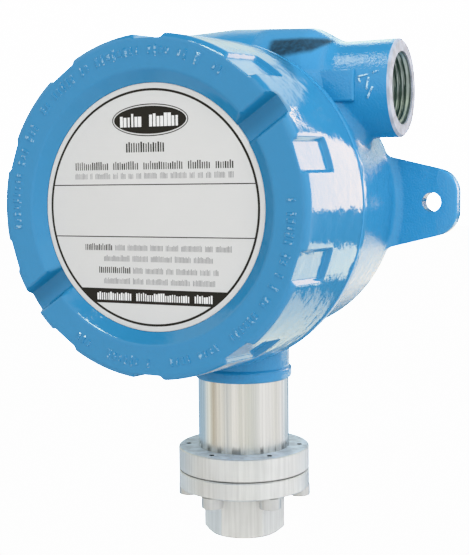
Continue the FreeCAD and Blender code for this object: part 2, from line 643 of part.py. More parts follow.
def make_cover():
    """Screw cover: skirt, front ring with its recess, finger notches, bar slots and seal groove."""
    recess_r = PLATE_R + FIT
    cover = turned_y([(RING_GROOVE_R, COVER_BACK_Y), (COVER_R, COVER_BACK_Y, -COVER_REAR_CHAMFER),
                      (COVER_FRONT_R, COVER_FRONT_Y, COVER_EDGE_R),
                      (RECESS_TOP_R, COVER_FRONT_Y, RECESS_EDGE_R), (recess_r, PLATE_FACE_Y),
                      (recess_r, RECESS_Y), (0, RECESS_Y), (0, COVER_INNER_Y),
                      (COVER_INNER_R, COVER_INNER_Y, -CHAMBER_CORNER), (COVER_INNER_R, COVER_THREAD_END_Y),
                      (COVER_THREAD_R, COVER_THREAD_END_Y), (COVER_THREAD_R, RING_GROOVE_Y),
                      (RING_GROOVE_R, RING_GROOVE_Y)])
    notches = [notch(index) for index in range(NOTCH_COUNT)]
    slots = [bar_slot(BAR_SLOT_CLOCK_DEG), bar_slot(BAR_SLOT_CLOCK_DEG + 180)]
    return bored(cover, notches + slots)


def make_nameplate():
    """Round printed plate in the cover's recess."""
    return turned_y([(0, PLATE_FACE_Y), (PLATE_R, PLATE_FACE_Y), (PLATE_R, RECESS_Y), (0, RECESS_Y)])


def make_cover_o_ring():
    """Seal ring in the cover's mouth, round the housing's thread."""
    return turned_y(seal_section(COVER_RING_R, COVER_RING_SECTION_R, COVER_RING_Y))


def make_switch_bracket():
    """Sheet-metal plate on the housing's bosses that carries the snap switch and the terminal block."""
    top_z = BRACKET_BOTTOM_Z + BRACKET_H
    plate = plate_xz([(-BRACKET_HALF_W, BRACKET_BOTTOM_Z, BRACKET_CORNER_R),
                      (BRACKET_HALF_W, BRACKET_BOTTOM_Z, BRACKET_CORNER_R),
                      (BRACKET_HALF_W, top_z, BRACKET_CORNER_R), (-BRACKET_HALF_W, top_z, BRACKET_CORNER_R)],
                     BRACKET_Y, BRACKET_T)
    places = bracket_screw_places() + switch_hole_places() + [(x, BLOCK_MID_Z) for x in block_screw_places()]
    holes = [cylinder_y(x, z, SCREW_R + FIT, BRACKET_Y - OVERCUT, BRACKET_BACK_Y + OVERCUT)
             for x, z in places]
    return bored(plate, holes)


def make_bracket_screws():
    """Screws that hold the bracket to the housing's bosses."""
    screws = [screw_y(x, z, BRACKET_Y, SCREW_R, SCREW_HEAD_R, SCREW_HEAD_H, SCREW_LENGTH)
              for x, z in bracket_screw_places()]
    return Part.makeCompound(screws)


def make_snap_switch():
    """Moulded case of the snap switch with its plunger hole, fixing holes and tab slots."""
    half_w = SWITCH_W / 2
    left = SWITCH_X - SWITCH_L / 2
    case = box(left, left + SWITCH_L, -half_w, half_w, SWITCH_Z, SWITCH_TOP)
    plunger = Part.makeCylinder(PLUNGER_R + RUNNING_FIT, PLUNGER_IN + STROKE + OVERCUT,
                                Vector(0, 0, SWITCH_Z - OVERCUT))
    holes = [cylinder_y(x, z, SCREW_R + FIT, -half_w - OVERCUT, half_w + OVERCUT)
             for x, z in switch_hole_places()]
    slots = [box(x - TAB_W / 2 - FIT, x + TAB_W / 2 + FIT, -TAB_T / 2 - FIT, TAB_T / 2 + FIT,
                 SWITCH_TOP - TAB_T, SWITCH_TOP + OVERCUT) for x in tab_places()]
    return bored(case, [plunger] + holes + slots)


def make_switch_plunger():
    """Pin that the push rod lifts into the snap switch."""
    return turned_z([(0, ROD_TOP), (PLUNGER_R, ROD_TOP, -EDGE_CHAMFER), (PLUNGER_R, SWITCH_Z + PLUNGER_IN),
                     (0, SWITCH_Z + PLUNGER_IN)])


def make_switch_tabs():
    """Flat terminal tabs that stand up from the snap switch."""
    tabs = []
    for x in tab_places():
        tabs.append(box(x - TAB_W / 2, x + TAB_W / 2, -TAB_T / 2, TAB_T / 2,
                        SWITCH_TOP - TAB_T, SWITCH_TOP + TAB_H))
    return Part.makeCompound(tabs)


def make_switch_screws():
    """Long screws through the snap switch into the bracket."""
    length = SWITCH_W + BRACKET_T
    screws = [screw_y(x, z, -SWITCH_W / 2, SCREW_R, SCREW_HEAD_R, SCREW_HEAD_H, length)
              for x, z in switch_hole_places()]
    return Part.makeCompound(screws)


def make_terminal_block():
    """Moulded block with a barrier between its poles and a screw ear at each end."""
    half_l = BLOCK_L / 2
    block = box(-half_l, half_l, BLOCK_FACE_Y, BRACKET_Y, BLOCK_Z, BLOCK_Z + BLOCK_H)
    barrier_y = BRACKET_Y - BLOCK_BARRIER_H
    barriers = []
    for index in range(BLOCK_POLES + 1):
        x = (index - BLOCK_POLES / 2) * BLOCK_POLE_PITCH
        barriers.append(box(x - BLOCK_BARRIER_W / 2, x + BLOCK_BARRIER_W / 2, barrier_y, BRACKET_Y, BLOCK_Z,
                            BLOCK_Z + BLOCK_H))
    block = block.fuse(barriers).removeSplitter()
    ends = [cylinder_y(x, BLOCK_MID_Z, SCREW_R + FIT, BLOCK_FACE_Y - OVERCUT, BRACKET_Y + OVERCUT)
            for x in block_screw_places()]
    screw_end_y = TERMINAL_FACE_Y + TERMINAL_SCREW_LENGTH
    screws = [cylinder_y(x, z, SCREW_R + FIT, BLOCK_FACE_Y - OVERCUT, screw_end_y)
              for x, z in terminal_screw_places()]
    return bored(block, ends + screws)


def terminal_screw_places():
    """Two screws on every pole as (x, z)."""
    return [(x, BLOCK_MID_Z + level * TERMINAL_SCREW_HALF_PITCH) for x in pole_places() for level in (-1, 1)]


def make_terminal_plates():
    """Flat contact plates in the poles of the terminal block."""
    plates = []
    half_h = PLATE_TERMINAL_H / 2
    for x in pole_places():
        plate = box(x - PLATE_TERMINAL_W / 2, x + PLATE_TERMINAL_W / 2, TERMINAL_FACE_Y, BLOCK_FACE_Y,
                    BLOCK_MID_Z - half_h, BLOCK_MID_Z + half_h)
        holes = [cylinder_y(x, BLOCK_MID_Z + level * TERMINAL_SCREW_HALF_PITCH, SCREW_R + FIT,
                            TERMINAL_FACE_Y - OVERCUT, BLOCK_FACE_Y + OVERCUT) for level in (-1, 1)]
        plates.append(bored(plate, holes))
    return Part.makeCompound(plates)


def make_terminal_screws():
    """Clamping screws of the terminal block."""
    screws = [screw_y(x, z, TERMINAL_FACE_Y, SCREW_R, SCREW_HEAD_R, SCREW_HEAD_H, TERMINAL_SCREW_LENGTH)
              for x, z in terminal_screw_places()]
    return Part.makeCompound(screws)


def make_terminal_block_screws():
    """Screws through the terminal block's ears into the bracket."""
    length = BLOCK_FLOOR + BRACKET_T
    screws = [screw_y(x, BLOCK_MID_Z, BLOCK_FACE_Y, SCREW_R, SCREW_HEAD_R, SCREW_HEAD_H, length)
              for x in block_screw_places()]
    return Part.makeCompound(screws)


def lead(tab_x, pole_x):
    """Insulated wire from the top of a switch tab to the face of a contact plate's foot."""
    start = Vector(tab_x, 0, SWITCH_TOP + TAB_H)
    end = Vector(pole_x, TERMINAL_FACE_Y - LEAD_R, BLOCK_Z + LEAD_FOOT)
    path = Part.makePolygon([start, start + Z_AXIS * LEAD_RISE, end - Z_AXIS * 2 * LEAD_FOOT, end])
    section = Part.Wire(Part.makeCircle(LEAD_R, start, Z_AXIS))
    return path.makePipeShell([section], True, False, RIGHT_CORNERS)


def make_switch_leads():
    """Three leads from the snap switch's tabs to the terminal block."""
    leads = [lead(tab_x, pole_x) for tab_x, pole_x in zip(tab_places(), pole_places())]
    return Part.makeCompound(leads)


def make_earth_screw():
    """Earth screw in its boss on the chamber's back wall."""
    return screw_y(EARTH_X, CASE_Z, EARTH_FACE_Y - EARTH_WASHER_T, EARTH_SCREW_R, EARTH_HEAD_R, EARTH_HEAD_H,
                   EARTH_SCREW_LENGTH)


def make_earth_washer():
    """Washer under the earth screw's head."""
    ring = cylinder_y(EARTH_X, CASE_Z, EARTH_WASHER_R, EARTH_FACE_Y - EARTH_WASHER_T, EARTH_FACE_Y)
    hole = cylinder_y(EARTH_X, CASE_Z, EARTH_SCREW_R + FIT, EARTH_FACE_Y - EARTH_WASHER_T - OVERCUT,
                      EARTH_FACE_Y + OVERCUT)
    return ring.cut(hole)


NODES = {
    "housing": make_housing,
    "cover": make_cover,
    "nameplate": make_nameplate,
    "cover_o_ring": make_cover_o_ring,
    "sensor_stem": make_sensor_stem,
    "stem_o_ring": make_stem_o_ring,
    "stem_lock_nut": make_stem_lock_nut,
    "pressure_port": make_pressure_port,
    "flange_bolts": make_flange_bolts,
    "diaphragm": make_diaphragm,
    "diaphragm_o_ring": make_diaphragm_o_ring,
    "piston": make_piston,
    "push_rod": make_push_rod,
    "range_spring": make_range_spring,
    "spring_seat": make_spring_seat,
    "adjusting_nut": make_adjusting_nut,
    "switch_bracket": make_switch_bracket,
    "bracket_screws": make_bracket_screws,
    "snap_switch": make_snap_switch,
    "switch_plunger": make_switch_plunger,
    "switch_tabs": make_switch_tabs,
    "switch_screws": make_switch_screws,
    "switch_leads": make_switch_leads,
    "terminal_block": make_terminal_block,
    "terminal_plates": make_terminal_plates,
    "terminal_screws": make_terminal_screws,
    "terminal_block_screws": make_terminal_block_screws,
    "earth_screw": make_earth_screw,
    "earth_washer": make_earth_washer,
}


def main():
    """Build every piece and write it under its own name."""
    os.makedirs("parts", exist_ok=True)
    for name, make in NODES.items():
        make().exportStep(os.path.join("parts", name + ".step"))


main()
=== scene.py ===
"""Looks of an explosion-proof pressure switch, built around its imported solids."""
import json
import math
from contextlib import contextmanager
from functools import partialmethod

import bmesh
import bpy
import numpy as np
from bpy.props import FloatProperty, FloatVectorProperty, IntProperty, PointerProperty
from mathutils import Matrix, Vector


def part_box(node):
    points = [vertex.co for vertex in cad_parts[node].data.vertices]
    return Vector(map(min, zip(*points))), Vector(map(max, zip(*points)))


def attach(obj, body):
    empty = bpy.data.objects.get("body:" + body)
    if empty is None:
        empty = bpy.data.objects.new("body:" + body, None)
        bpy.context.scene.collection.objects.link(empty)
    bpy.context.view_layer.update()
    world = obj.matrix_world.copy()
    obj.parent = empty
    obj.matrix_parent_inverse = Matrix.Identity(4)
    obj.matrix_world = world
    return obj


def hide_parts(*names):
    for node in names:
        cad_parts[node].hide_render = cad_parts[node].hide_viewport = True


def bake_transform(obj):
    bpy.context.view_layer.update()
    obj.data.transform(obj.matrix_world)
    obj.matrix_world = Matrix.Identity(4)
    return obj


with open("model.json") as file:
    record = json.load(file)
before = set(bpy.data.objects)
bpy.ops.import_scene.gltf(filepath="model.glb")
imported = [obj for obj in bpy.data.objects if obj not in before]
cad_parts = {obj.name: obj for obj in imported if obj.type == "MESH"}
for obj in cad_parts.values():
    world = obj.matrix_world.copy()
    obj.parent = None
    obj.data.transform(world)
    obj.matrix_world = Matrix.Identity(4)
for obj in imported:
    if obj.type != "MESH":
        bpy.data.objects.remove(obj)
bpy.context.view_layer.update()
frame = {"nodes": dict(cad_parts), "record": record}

bl_info = {
    "name": "Pressure switch looks",
    "version": (1, 0, 0),
    "blender": (4, 5, 0),
    "location": "3D View > Sidebar > Pressure switch",
    "description": "Builds the visible pieces of an explosion-proof pressure switch around its solids",
    "category": "Object",
}

MM = 0.001
INCH = 25.4          # in millimetres
TURN = 2 * math.pi
WELD = 1e-6          # distance below which two points are one
HAIR = 0.05 * MM     # margin for telling faces and points apart
EDGE_STEPS = 8       # points along a rounded edge

COVER_LOW, COVER_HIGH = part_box("cover")
PLATE_LOW, PLATE_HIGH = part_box("nameplate")
PORT_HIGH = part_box("pressure_port")[1]
STEM_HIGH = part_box("sensor_stem")[1]
BOLTS_LOW, BOLTS_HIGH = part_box("flange_bolts")
CASE_LOW, CASE_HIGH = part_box("housing")
SPRING_LOW, SPRING_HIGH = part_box("range_spring")
FLANGE_TOP = max(vertex.co.z for vertex in frame["nodes"]["sensor_stem"].data.vertices
                 if math.hypot(vertex.co.x, vertex.co.y) > STEM_HIGH.x * 0.85)
AXIS_Z = (COVER_LOW.z + COVER_HIGH.z) / 2
MOUNTS = {mount["name"]: mount for mount in frame["record"]["mounts"]}
HUB_MOUTH = Vector(MOUNTS["conduit_hub"]["pos_m"])
HUB_BORE = MOUNTS["conduit_hub"]["dims"]["r_mm"] * MM
HUB_DEPTH = MOUNTS["conduit_hub"]["dims"]["length_mm"] * MM
PORT_BORE = MOUNTS["pressure_port"]["dims"]["r_mm"] * MM
PORT_DEPTH = MOUNTS["pressure_port"]["dims"]["length_mm"] * MM
LUG_HOLE_X = MOUNTS["lug_holes"]["dims"]["spacing_x_mm"] * MM / 2

ACROSS, UP = Vector((1.0, 0.0, 0.0)), Vector((0.0, 0.0, 1.0))
FLOAT, INT, VECTOR = "NodeSocketFloat", "NodeSocketInt", "NodeSocketVector"
MATERIAL, OBJECT, GEOMETRY = "NodeSocketMaterial", "NodeSocketObject", "NodeSocketGeometry"


def length(name, description, millimetres):
    """A size that the sidebar shows."""
    return FloatProperty(name=name, description=description, default=millimetres * MM, unit="LENGTH",
                         precision=5)


def angle(name, description, degrees):
    """An angle that the sidebar shows in degrees."""
    return FloatProperty(name=name, description=description, default=math.radians(degrees), subtype="ANGLE")


def colour(name, description, default):
    """A colour that the sidebar shows as a swatch."""
    return FloatVectorProperty(name=name, description=description, default=default, size=3, min=0.0, max=1.0,
                               subtype="COLOR")


def amount(name, description, default):
    """A plain number that the sidebar shows."""
    return FloatProperty(name=name, description=description, default=default)


def count(name, description, default):
    """A whole number that the sidebar shows."""
    return IntProperty(name=name, description=description, default=default, min=0)


class PSWITCH_PG_cover(bpy.types.PropertyGroup):
    """Sizes of the screw cover."""
    front_radius: length("Front radius", "Skirt radius at the front edge", 57.2)
    front_inset: length("Front inset", "How far the front ring lies below its cast marks", 0.3)
    edge_radius: length("Edge radius", "Rounding of the skirt's front edge", 2.5)
    rear_chamfer: length("Rear chamfer", "Chamfer of the skirt beside the housing", 0.8)
    recess_radius: length("Recess radius", "Radius of the recess at the front ring", 45.5)
    recess_edge: length("Recess edge", "Rounding of the recess's edge", 2.0)
    inner_radius: length("Inner radius", "Radius of the hollow behind the plate", 47.0)
    groove_radius: length("Groove radius", "Radius of the seal's groove", 53.1)
    floor_thickness: length("Floor thickness", "Metal behind the plate", 5.5)
    notch_count: count("Notches", "Finger notches round the skirt", 10)
    notch_clock: angle("Notch clock", "Angle of the first notch from the hub's side", 17.0)
    notch_half_width: length("Notch half width", "Half the width of a finger notch", 5.4)
    notch_length: length("Notch length", "How far a notch runs back from the front", 22.0)
    notch_rear_floor: length("Notch rear floor", "Radius of a notch's floor at its rear end", 56.9)
    notch_front_floor: length("Notch front floor", "Radius of a notch's floor at the front", 55.4)
    slot_clock: angle("Slot clock", "Angle of the upper bar slot", 35.0)
    slot_half_width: length("Slot half width", "Half the width of a bar slot", 3.6)
    slot_depth: length("Slot depth", "Depth of a bar slot below the front", 4.4)
    slot_edge: length("Slot edge", "Rounding of a bar slot's edges", 3.0)
    soft_edge: length("Soft edge", "Width over which a cast edge turns", 1.5)
    thread_front: length("Thread front", "Front end of the bore that holds the thread", -50.6)
    thread_rear: length("Thread rear", "Rear end of the bore that holds the thread", -33.4)


class PSWITCH_PG_marks(bpy.types.PropertyGroup):
    """Raised cast marks on the cover's front ring and on the hub."""
    ring_radius: length("Ring radius", "Circle that the cover's marks stand on", 51.4)
    spacing: length("Spacing", "From one mark to the next", 2.2)
    width: length("Width", "Width of the widest mark", 1.5)
    height: length("Height", "Height of a mark along the radius", 4.2)
    gaps: amount("Gaps", "Share of the places that stay empty", 0.2)
    seed: count("Seed", "Order of the marks' widths and gaps", 7)
    hub_radius: length("Hub radius", "Radius of the hub under its marks", 17.8)
    stroke_width: length("Stroke width", "Width of a mark on the hub", 0.675)


class PSWITCH_PG_threads(bpy.types.PropertyGroup):
    """Pitches and depths of the threads."""
    pipe_pitch: length("Pipe pitch", "Pitch of the conduit's and the pressure line's threads", INCH / 14)
    pipe_depth: length("Pipe thread depth", "Depth of the two pipe threads", 0.8)
    cover_pitch: length("Cover pitch", "Pitch of the cover's thread", INCH / 12)
    cover_depth: length("Cover thread depth", "Depth of the cover's thread", 1.0)
    mouth_radius: length("Mouth radius", "Crest of the housing's thread", 49.7)
    mouth_length: length("Mouth length", "How far the housing's thread stands out", 19.0)
    cover_crest: length("Cover crest", "Crest of the cover's own thread", 50.02)
    clearance: length("Clearance", "Room between the cover's thread and the bore that holds it", 0.3)
    backing: length("Backing", "Metal behind the root of a thread", 0.4)
    columns: count("Columns", "Faces round one turn", 80)
    turn_rows: count("Rows", "Faces along one pitch", 8)


class PSWITCH_PG_spring(bpy.types.PropertyGroup):
    """Wire and coils of the range spring."""
    wire_width: length("Wire width", "Size of the wire across the coil", 2.4)
    wire_height: length("Wire height", "Size of the wire along the coil", 2.6)
    wire_edge: length("Wire edge", "Rounding of the wire's edges", 0.4)
    turns: amount("Turns", "Number of turns of the coil", 6.0)
    lower_share: amount("Lower share", "Share of the coil that gives way to the piston", 0.25)
    columns: count("Columns", "Sections in one turn", 40)


class PSWITCH_PG_port(bpy.types.PropertyGroup):
    """Sizes of the pressure port and its flange screws."""
    flats: length("Across flats", "Width of the port's hexagon", 28.0)
    clock: angle("Clock", "Angle of one corner and one screw from the hub's side", 20.6)
    chamfer: length("Chamfer", "Height of the hexagon's turned chamfer", 1.5)
    passage: length("Passage", "Radius of the way to the diaphragm", 2.5)
    edge: length("Edge", "Chamfer of the flange and the screw heads", 0.4)
    soft_corner: length("Soft corner", "Wear of the hexagon's edges", 0.12)
    screw_count: count("Screws", "Socket-head screws round the flange", 6)
    screw_circle: length("Screw circle", "Radius that the screws stand on", 22.1)
    head_radius: length("Head radius", "Radius of a screw's head", 4.2)
    head_height: length("Head height", "Height of a screw's head", 4.4)
    shank_radius: length("Shank radius", "Radius of a screw's shank", 2.5)
    socket_flats: length("Socket flats", "Width of a screw's hexagon socket", 4.0)
    socket_depth: length("Socket depth", "Depth of a screw's socket", 2.4)


class PSWITCH_PG_print(bpy.types.PropertyGroup):
    """Sizes of the fields that are printed on the plate."""
    thickness: length("Thickness", "How far the print stands on the plate", 0.03)
    ring_radius: length("Ring radius", "Outer radius of the border ring", 39.4)
    ring_width: length("Ring width", "Width of the border ring", 0.75)
    rule_width: length("Rule width", "Width of the two rules", 0.3)
    upper_rule: length("Upper rule", "Height of the upper rule above the plate's middle", 7.9)
    lower_rule: length("Lower rule", "Height of the lower rule above the plate's middle", -9.5)
    oval_level: length("Oval level", "Height of the dark oval above the plate's middle", 29.1)
    oval_half_width: length("Oval half width", "Half the width of the line round the oval", 14.3)
    oval_half_height: length("Oval half height", "Half the height of the line round the oval", 5.3)
    banner_top: length("Banner top", "Upper edge of the dark strip at the foot", -27.1)
    banner_foot: length("Banner foot", "Lower edge of the dark strip at the foot", -32.0)
    seed: count("Seed", "Order of the blocks' widths and heights", 11)


class PSWITCH_PG_colours(bpy.types.PropertyGroup):
    """Colours of the finishes."""
    enamel: colour("Enamel", "Blue enamel of the housing and the cover", (0.064, 0.275, 0.515))
    # Painted glints: pale specks on the raised cast marks stand in for highlights.
    worn: colour("Worn enamel", "Pale specks on the raised cast marks", (0.520, 0.720, 0.800))
    # Painted shade: a dark colour laid on the crown of the barrel boss.
    painted_shade: colour("Painted_shade", "Dark smear on the crown of the barrel boss", (0.028, 0.060, 0.095))
    plate: colour("Plate", "Satin face of the nameplate", (0.725, 0.725, 0.717))
    ink: colour("Ink", "Dark print on the nameplate", (0.030, 0.028, 0.026))
    pale_ink: colour("Pale ink", "Light print on the dark strip", (0.780, 0.780, 0.770))
    grey_ink: colour("Grey ink", "Fine print on the nameplate", (0.330, 0.330, 0.335))
    steel: colour("Steel", "Turned stainless steel", (0.760, 0.752, 0.735))
    satin: colour("Satin steel", "Milled stainless steel", (0.770, 0.770, 0.764))
    # Dull steel with a painted blue reflection: the blue tint stands for the enamel that the flange's top
    # reflects.
    faced: colour("Faced steel", "Dull stainless steel of the flange's top", (0.820, 0.900, 0.990))
    # Painted shade: a near-black colour for the shade inside the flange's small holes.
    hole: colour("Hole", "Inside of the flange's small holes", (0.040, 0.042, 0.048))
    hub: colour("Hub metal", "Scuffed metal of the hub's mouth", (0.440, 0.485, 0.570))
    hub_thread: colour("Hub thread", "Oily metal of the conduit thread", (0.420, 0.490, 0.470))
    bare: colour("Bare metal", "Machined metal of the cover's thread", (0.560, 0.560, 0.540))
    cast: colour("Cast metal", "Unpainted inside of the castings", (0.420, 0.420, 0.415))
    zinc: colour("Zinc", "Bright plating", (0.660, 0.670, 0.680))
    brass: colour("Brass", "Machined brass", (0.740, 0.560, 0.260))
    spring: colour("Spring steel", "Oiled spring wire", (0.360, 0.360, 0.370))
    black: colour("Black plastic", "Moulded black plastic", (0.035, 0.035, 0.038))
    red: colour("Red plastic", "Moulded red plastic", (0.550, 0.060, 0.050))
    sleeve: colour("Lead sleeve", "Flexible insulation", (0.720, 0.720, 0.700))
    rubber: colour("Rubber", "Seal rings", (0.025, 0.025, 0.026))


class PSWITCH_PG_stage(bpy.types.PropertyGroup):
    """Camera, floor and studio light."""
    camera_place: FloatVectorProperty(name="Camera place", description="Where the camera stands", size=3,
                                      default=(0.1752, -0.3841, 0.1377), subtype="TRANSLATION")
    camera_azimuth: angle("Camera azimuth", "Turn of the view about the upright axis", 24.94)
    camera_pitch: angle("Camera pitch", "How far the view looks down", 4.96)
    camera_roll: angle("Camera roll", "Roll of the view", -0.58)
    focal_pixels: amount("Focal length", "In pixels of the image's frame", 1074.3)
    frame_height: count("Frame height", "Height of the image in pixels", 555)
    fill_light: amount("Fill light", "Brightness of the white room on matt surfaces", 0.436)
    fill_side: amount("Fill side", "How much brighter the room is on the hub's side", 4.0)
    key_light: amount("Key light", "Strength of the soft light beside the camera", 0.90)
    room_light: amount("Room light", "Brightness of the white room in reflections", 1.12)
    backdrop_light: amount("Backdrop light", "Brightness of the white backdrop", 12.0)
    panel_light: amount("Panel light", "Brightness of the panels behind the switch", 5.6)


class PSWITCH_PG_looks(bpy.types.PropertyGroup):
    """Everything that a user would change."""
    cover: PointerProperty(type=PSWITCH_PG_cover)
    marks: PointerProperty(type=PSWITCH_PG_marks)
    threads: PointerProperty(type=PSWITCH_PG_threads)
    spring: PointerProperty(type=PSWITCH_PG_spring)
    port: PointerProperty(type=PSWITCH_PG_port)
    print: PointerProperty(type=PSWITCH_PG_print)
    colours: PointerProperty(type=PSWITCH_PG_colours)
    stage: PointerProperty(type=PSWITCH_PG_stage)


class Field:
    """A node's output that takes part in Python expressions: each operator adds a Math node."""

    def __init__(self, graph, socket):
        self.graph = graph
        self.socket = socket

    def math(self, operation, *others):
        return self.graph.math(operation, self, *others)

    def swapped(self, operation, other):
        """The reflected form of an operator."""
        return self.graph.math(operation, other, self)

    __add__ = __radd__ = partialmethod(math, "ADD")
    __mul__ = __rmul__ = partialmethod(math, "MULTIPLY")
    __sub__, __rsub__ = partialmethod(math, "SUBTRACT"), partialmethod(swapped, "SUBTRACT")
    __truediv__, __rtruediv__ = partialmethod(math, "DIVIDE"), partialmethod(swapped, "DIVIDE")
    __lt__, __gt__ = partialmethod(math, "LESS_THAN"), partialmethod(math, "GREATER_THAN")

    def step(self, low, high):
        """0 below low, 1 above high and smooth between."""
        return self.graph.node("ShaderNodeMapRange", {"interpolation_type": "SMOOTHSTEP", "clamp": True},
                               {"Value": self, "From Min": low, "From Max": high})

    def within(self, rise, fall):
        """1 between two soft edges, each as the millimetres where it starts and ends."""
        return self.step(rise[0] * MM, rise[1] * MM) * (1 - self.step(fall[0] * MM, fall[1] * MM))

    def clamped(self):
        return self.graph.node("ShaderNodeClamp", None, {"Value": self})


class Graph:
    """A node tree under construction."""

    def __init__(self, tree):
        self.tree = tree

    def node(self, kind, settings=None, sockets=None, output=0):
        """Add a node: its settings first, then the values or links of its sockets."""
        made = self.tree.nodes.new(kind)
        for key, value in (settings or {}).items():
            if key != "stops":
                setattr(made, key, value)
                continue
            ramp = made.color_ramp.elements
            while len(ramp) < len(value):
                ramp.new(1.0)
            for element, (position, tone) in zip(ramp, value):
                element.position, element.color = position, opaque(tone)
        for key, value in (sockets or {}).items():
            self.feed(made.inputs[key], value)
        return Field(self, made.outputs[output]) if made.outputs else made

    def feed(self, socket, value):
        """Set a socket, link it, or link several outputs to it."""
        if isinstance(value, list):
            for item in value:
                self.feed(socket, item)
        elif isinstance(value, Field):
            self.tree.links.new(value.socket, socket)
        else:
            socket.default_value = value

    def math(self, operation, *values):
        return self.node("ShaderNodeMath", {"operation": operation}, dict(enumerate(values)))

    def vector(self, x, y, z):
        return self.node("ShaderNodeCombineXYZ", None, {"X": x, "Y": y, "Z": z})

    def parts(self, vector):
        """The three numbers of a vector."""
        split = self.node("ShaderNodeSeparateXYZ", None, {0: vector})
        return [Field(self, socket) for socket in split.socket.node.outputs]

    def blend(self, factor, first, second):
        """A colour between two others."""
        return self.node("ShaderNodeMix", {"data_type": "RGBA"},
                         {0: factor, 6: opaque(first), 7: opaque(second)}, output=2)

    def noise(self, place, scale, detail=2.0, roughness=0.5):
        return self.node("ShaderNodeTexNoise", None,
                         {"Vector": place, "Scale": scale, "Detail": detail, "Roughness": roughness})

    def lines(self, coordinate, per_metre):
        """Fine uneven lines across one coordinate."""
        return self.node("ShaderNodeTexNoise", {"noise_dimensions": "1D"},
                         {"W": coordinate * per_metre, "Scale": 1.0, "Detail": 3.0, "Roughness": 0.7})


def opaque(value):
    """A colour as its four numbers; a link stays a link."""
    return value if isinstance(value, Field) else (*value, 1.0)


def shade(value, factor):
    """A colour made lighter or darker."""
    return tuple(min(1.0, part * factor) for part in value)


class Finish(Graph):
    """A surface finish: one Principled shader on Object coordinates."""

    def __init__(self, name, constants):
        self.material = bpy.data.materials.new(name)
        self.material.use_nodes = True
        super().__init__(self.material.node_tree)
        self.shader = self.tree.nodes["Principled BSDF"]
        self.place = self.node("ShaderNodeTexCoord", output="Object")
        for socket, value in constants.items():
            self.set(socket, value)

    def set(self, socket, value):
        self.feed(self.shader.inputs[socket], value)

    def grain(self, scale, detail=2.0):
        return self.noise(self.place, scale, detail)

    def done(self, tone, roughness, height=None, depth=0.0):
        """The material with its colour and roughness, raised by depth metres where height is 1."""
        self.set("Base Color", tone)
        self.set("Roughness", roughness)
        if height is not None:
            self.set("Normal", self.node("ShaderNodeBump", None,
                                         {"Strength": 1.0, "Distance": depth, "Height": height}))
        return self.material


def painted_crown_shade_mask(paint, x, y, z):
    """Mask of painted shade on the crown of the barrel boss, above a line that rises towards the hub."""
    foot = 182.0 * MM + (x - 20 * MM) * 0.16 + (x - 36 * MM).math("MAXIMUM", 0.0) * 0.6
    painted_shade = x.step(18.4 * MM, 21.8 * MM) * (z - foot).step(-1.0 * MM, 1.8 * MM)
    painted_shade = painted_shade * (1 - z.step(189.2 * MM, 191.2 * MM)) * y.within((-26, -24), (-10, -5))
    return (painted_shade * (paint.grain(700.0, 3.0) * 0.5 + 0.68)).clamped()


def painted_slot_shade(x, y, z, clock):
    """Mask of painted shade on the upper side of the two bar slots in the cover's front."""
    across = (z - AXIS_Z) * math.cos(clock) - x * math.sin(clock)
    return across.within((-4.0, 1.0), (3.0, 5.6)) * (1 - y.step(COVER_LOW.y + 5 * MM, COVER_LOW.y + 7 * MM))


def enamel_finish(name, base, glint_share=0.0):
    """Glossy enamel over a cast surface, matt on the boss's crown, with painted shade on that crown and on
    the bar slots' upper sides; its last argument sets pale specks that are painted glints.
    """
    looks = bpy.context.scene.pressure_switch
    paint = Finish(name, {"IOR": 1.5})
    x, y, z = paint.parts(paint.place)
    drift, peel, swell = paint.grain(30.0, 3.0), paint.grain(1300.0), paint.grain(170.0)
    glint_specks = paint.grain(1100.0).step(0.66 - glint_share * 0.28, 0.80 - glint_share * 0.28) * glint_share
    tone = paint.blend((drift - 0.5) * 0.6 + 0.2, base, shade(base, 1.1))
    # Painted glints: pale specks on the raised marks.
    tone = paint.blend(glint_specks, tone, looks.colours.worn)
    # Painted shade: the upper sides of the bar slots are darkened.
    tone = paint.blend(painted_slot_shade(x, y, z, looks.cover.slot_clock), tone, shade(base, 0.72))
    # Painted shade: the crown of the barrel boss is darkened.
    tone = paint.blend(painted_crown_shade_mask(paint, x, y, z), tone, looks.colours.painted_shade)
    matt = x.within((10, 18), (38, 42)) * z.step(176 * MM, 179 * MM) * y.within((-27, -24), (-10, -5))
    sand = y.step(-27 * MM, -24 * MM) * 0.6
    return paint.done(tone, 0.05 + drift * 0.06 + matt * 0.8, peel * (0.10 + sand) + swell, 0.2 * MM)


def turned_finish(name, base, roughness, foot):
    """Bright metal turned about an upright axis, with upright streaks and a dark fringe above its foot."""
    metal = Finish(name, {"Metallic": 1.0, "Anisotropic": 0.85, "Anisotropic Rotation": 0.25})
    x, y, z = metal.parts(metal.place)
    lines = metal.lines(z, 5200.0)
    streaks = metal.noise(metal.vector(x * 900.0, y * 900.0, z * 6.0), 1.0, 4.0, 0.7)
    dashes = metal.noise(metal.vector(x * 480.0, y * 480.0, 0.0), 1.0)
    reach = metal.noise(metal.vector(x * 900.0, y * 900.0, 9.0), 1.0, 1.0)
    fringe = dashes.step(0.50, 0.58) * (1 - (z - foot).step(0.8 * MM, 1.4 * MM + reach * 4 * MM))
    tone = metal.blend(streaks.step(0.28, 0.72), base, shade(base, 0.8))
    tone = metal.blend(fringe * 0.75, tone, shade(base, 0.3))
    return metal.done(tone, roughness * 0.85 + lines * roughness * 0.3, lines, 0.002 * MM)


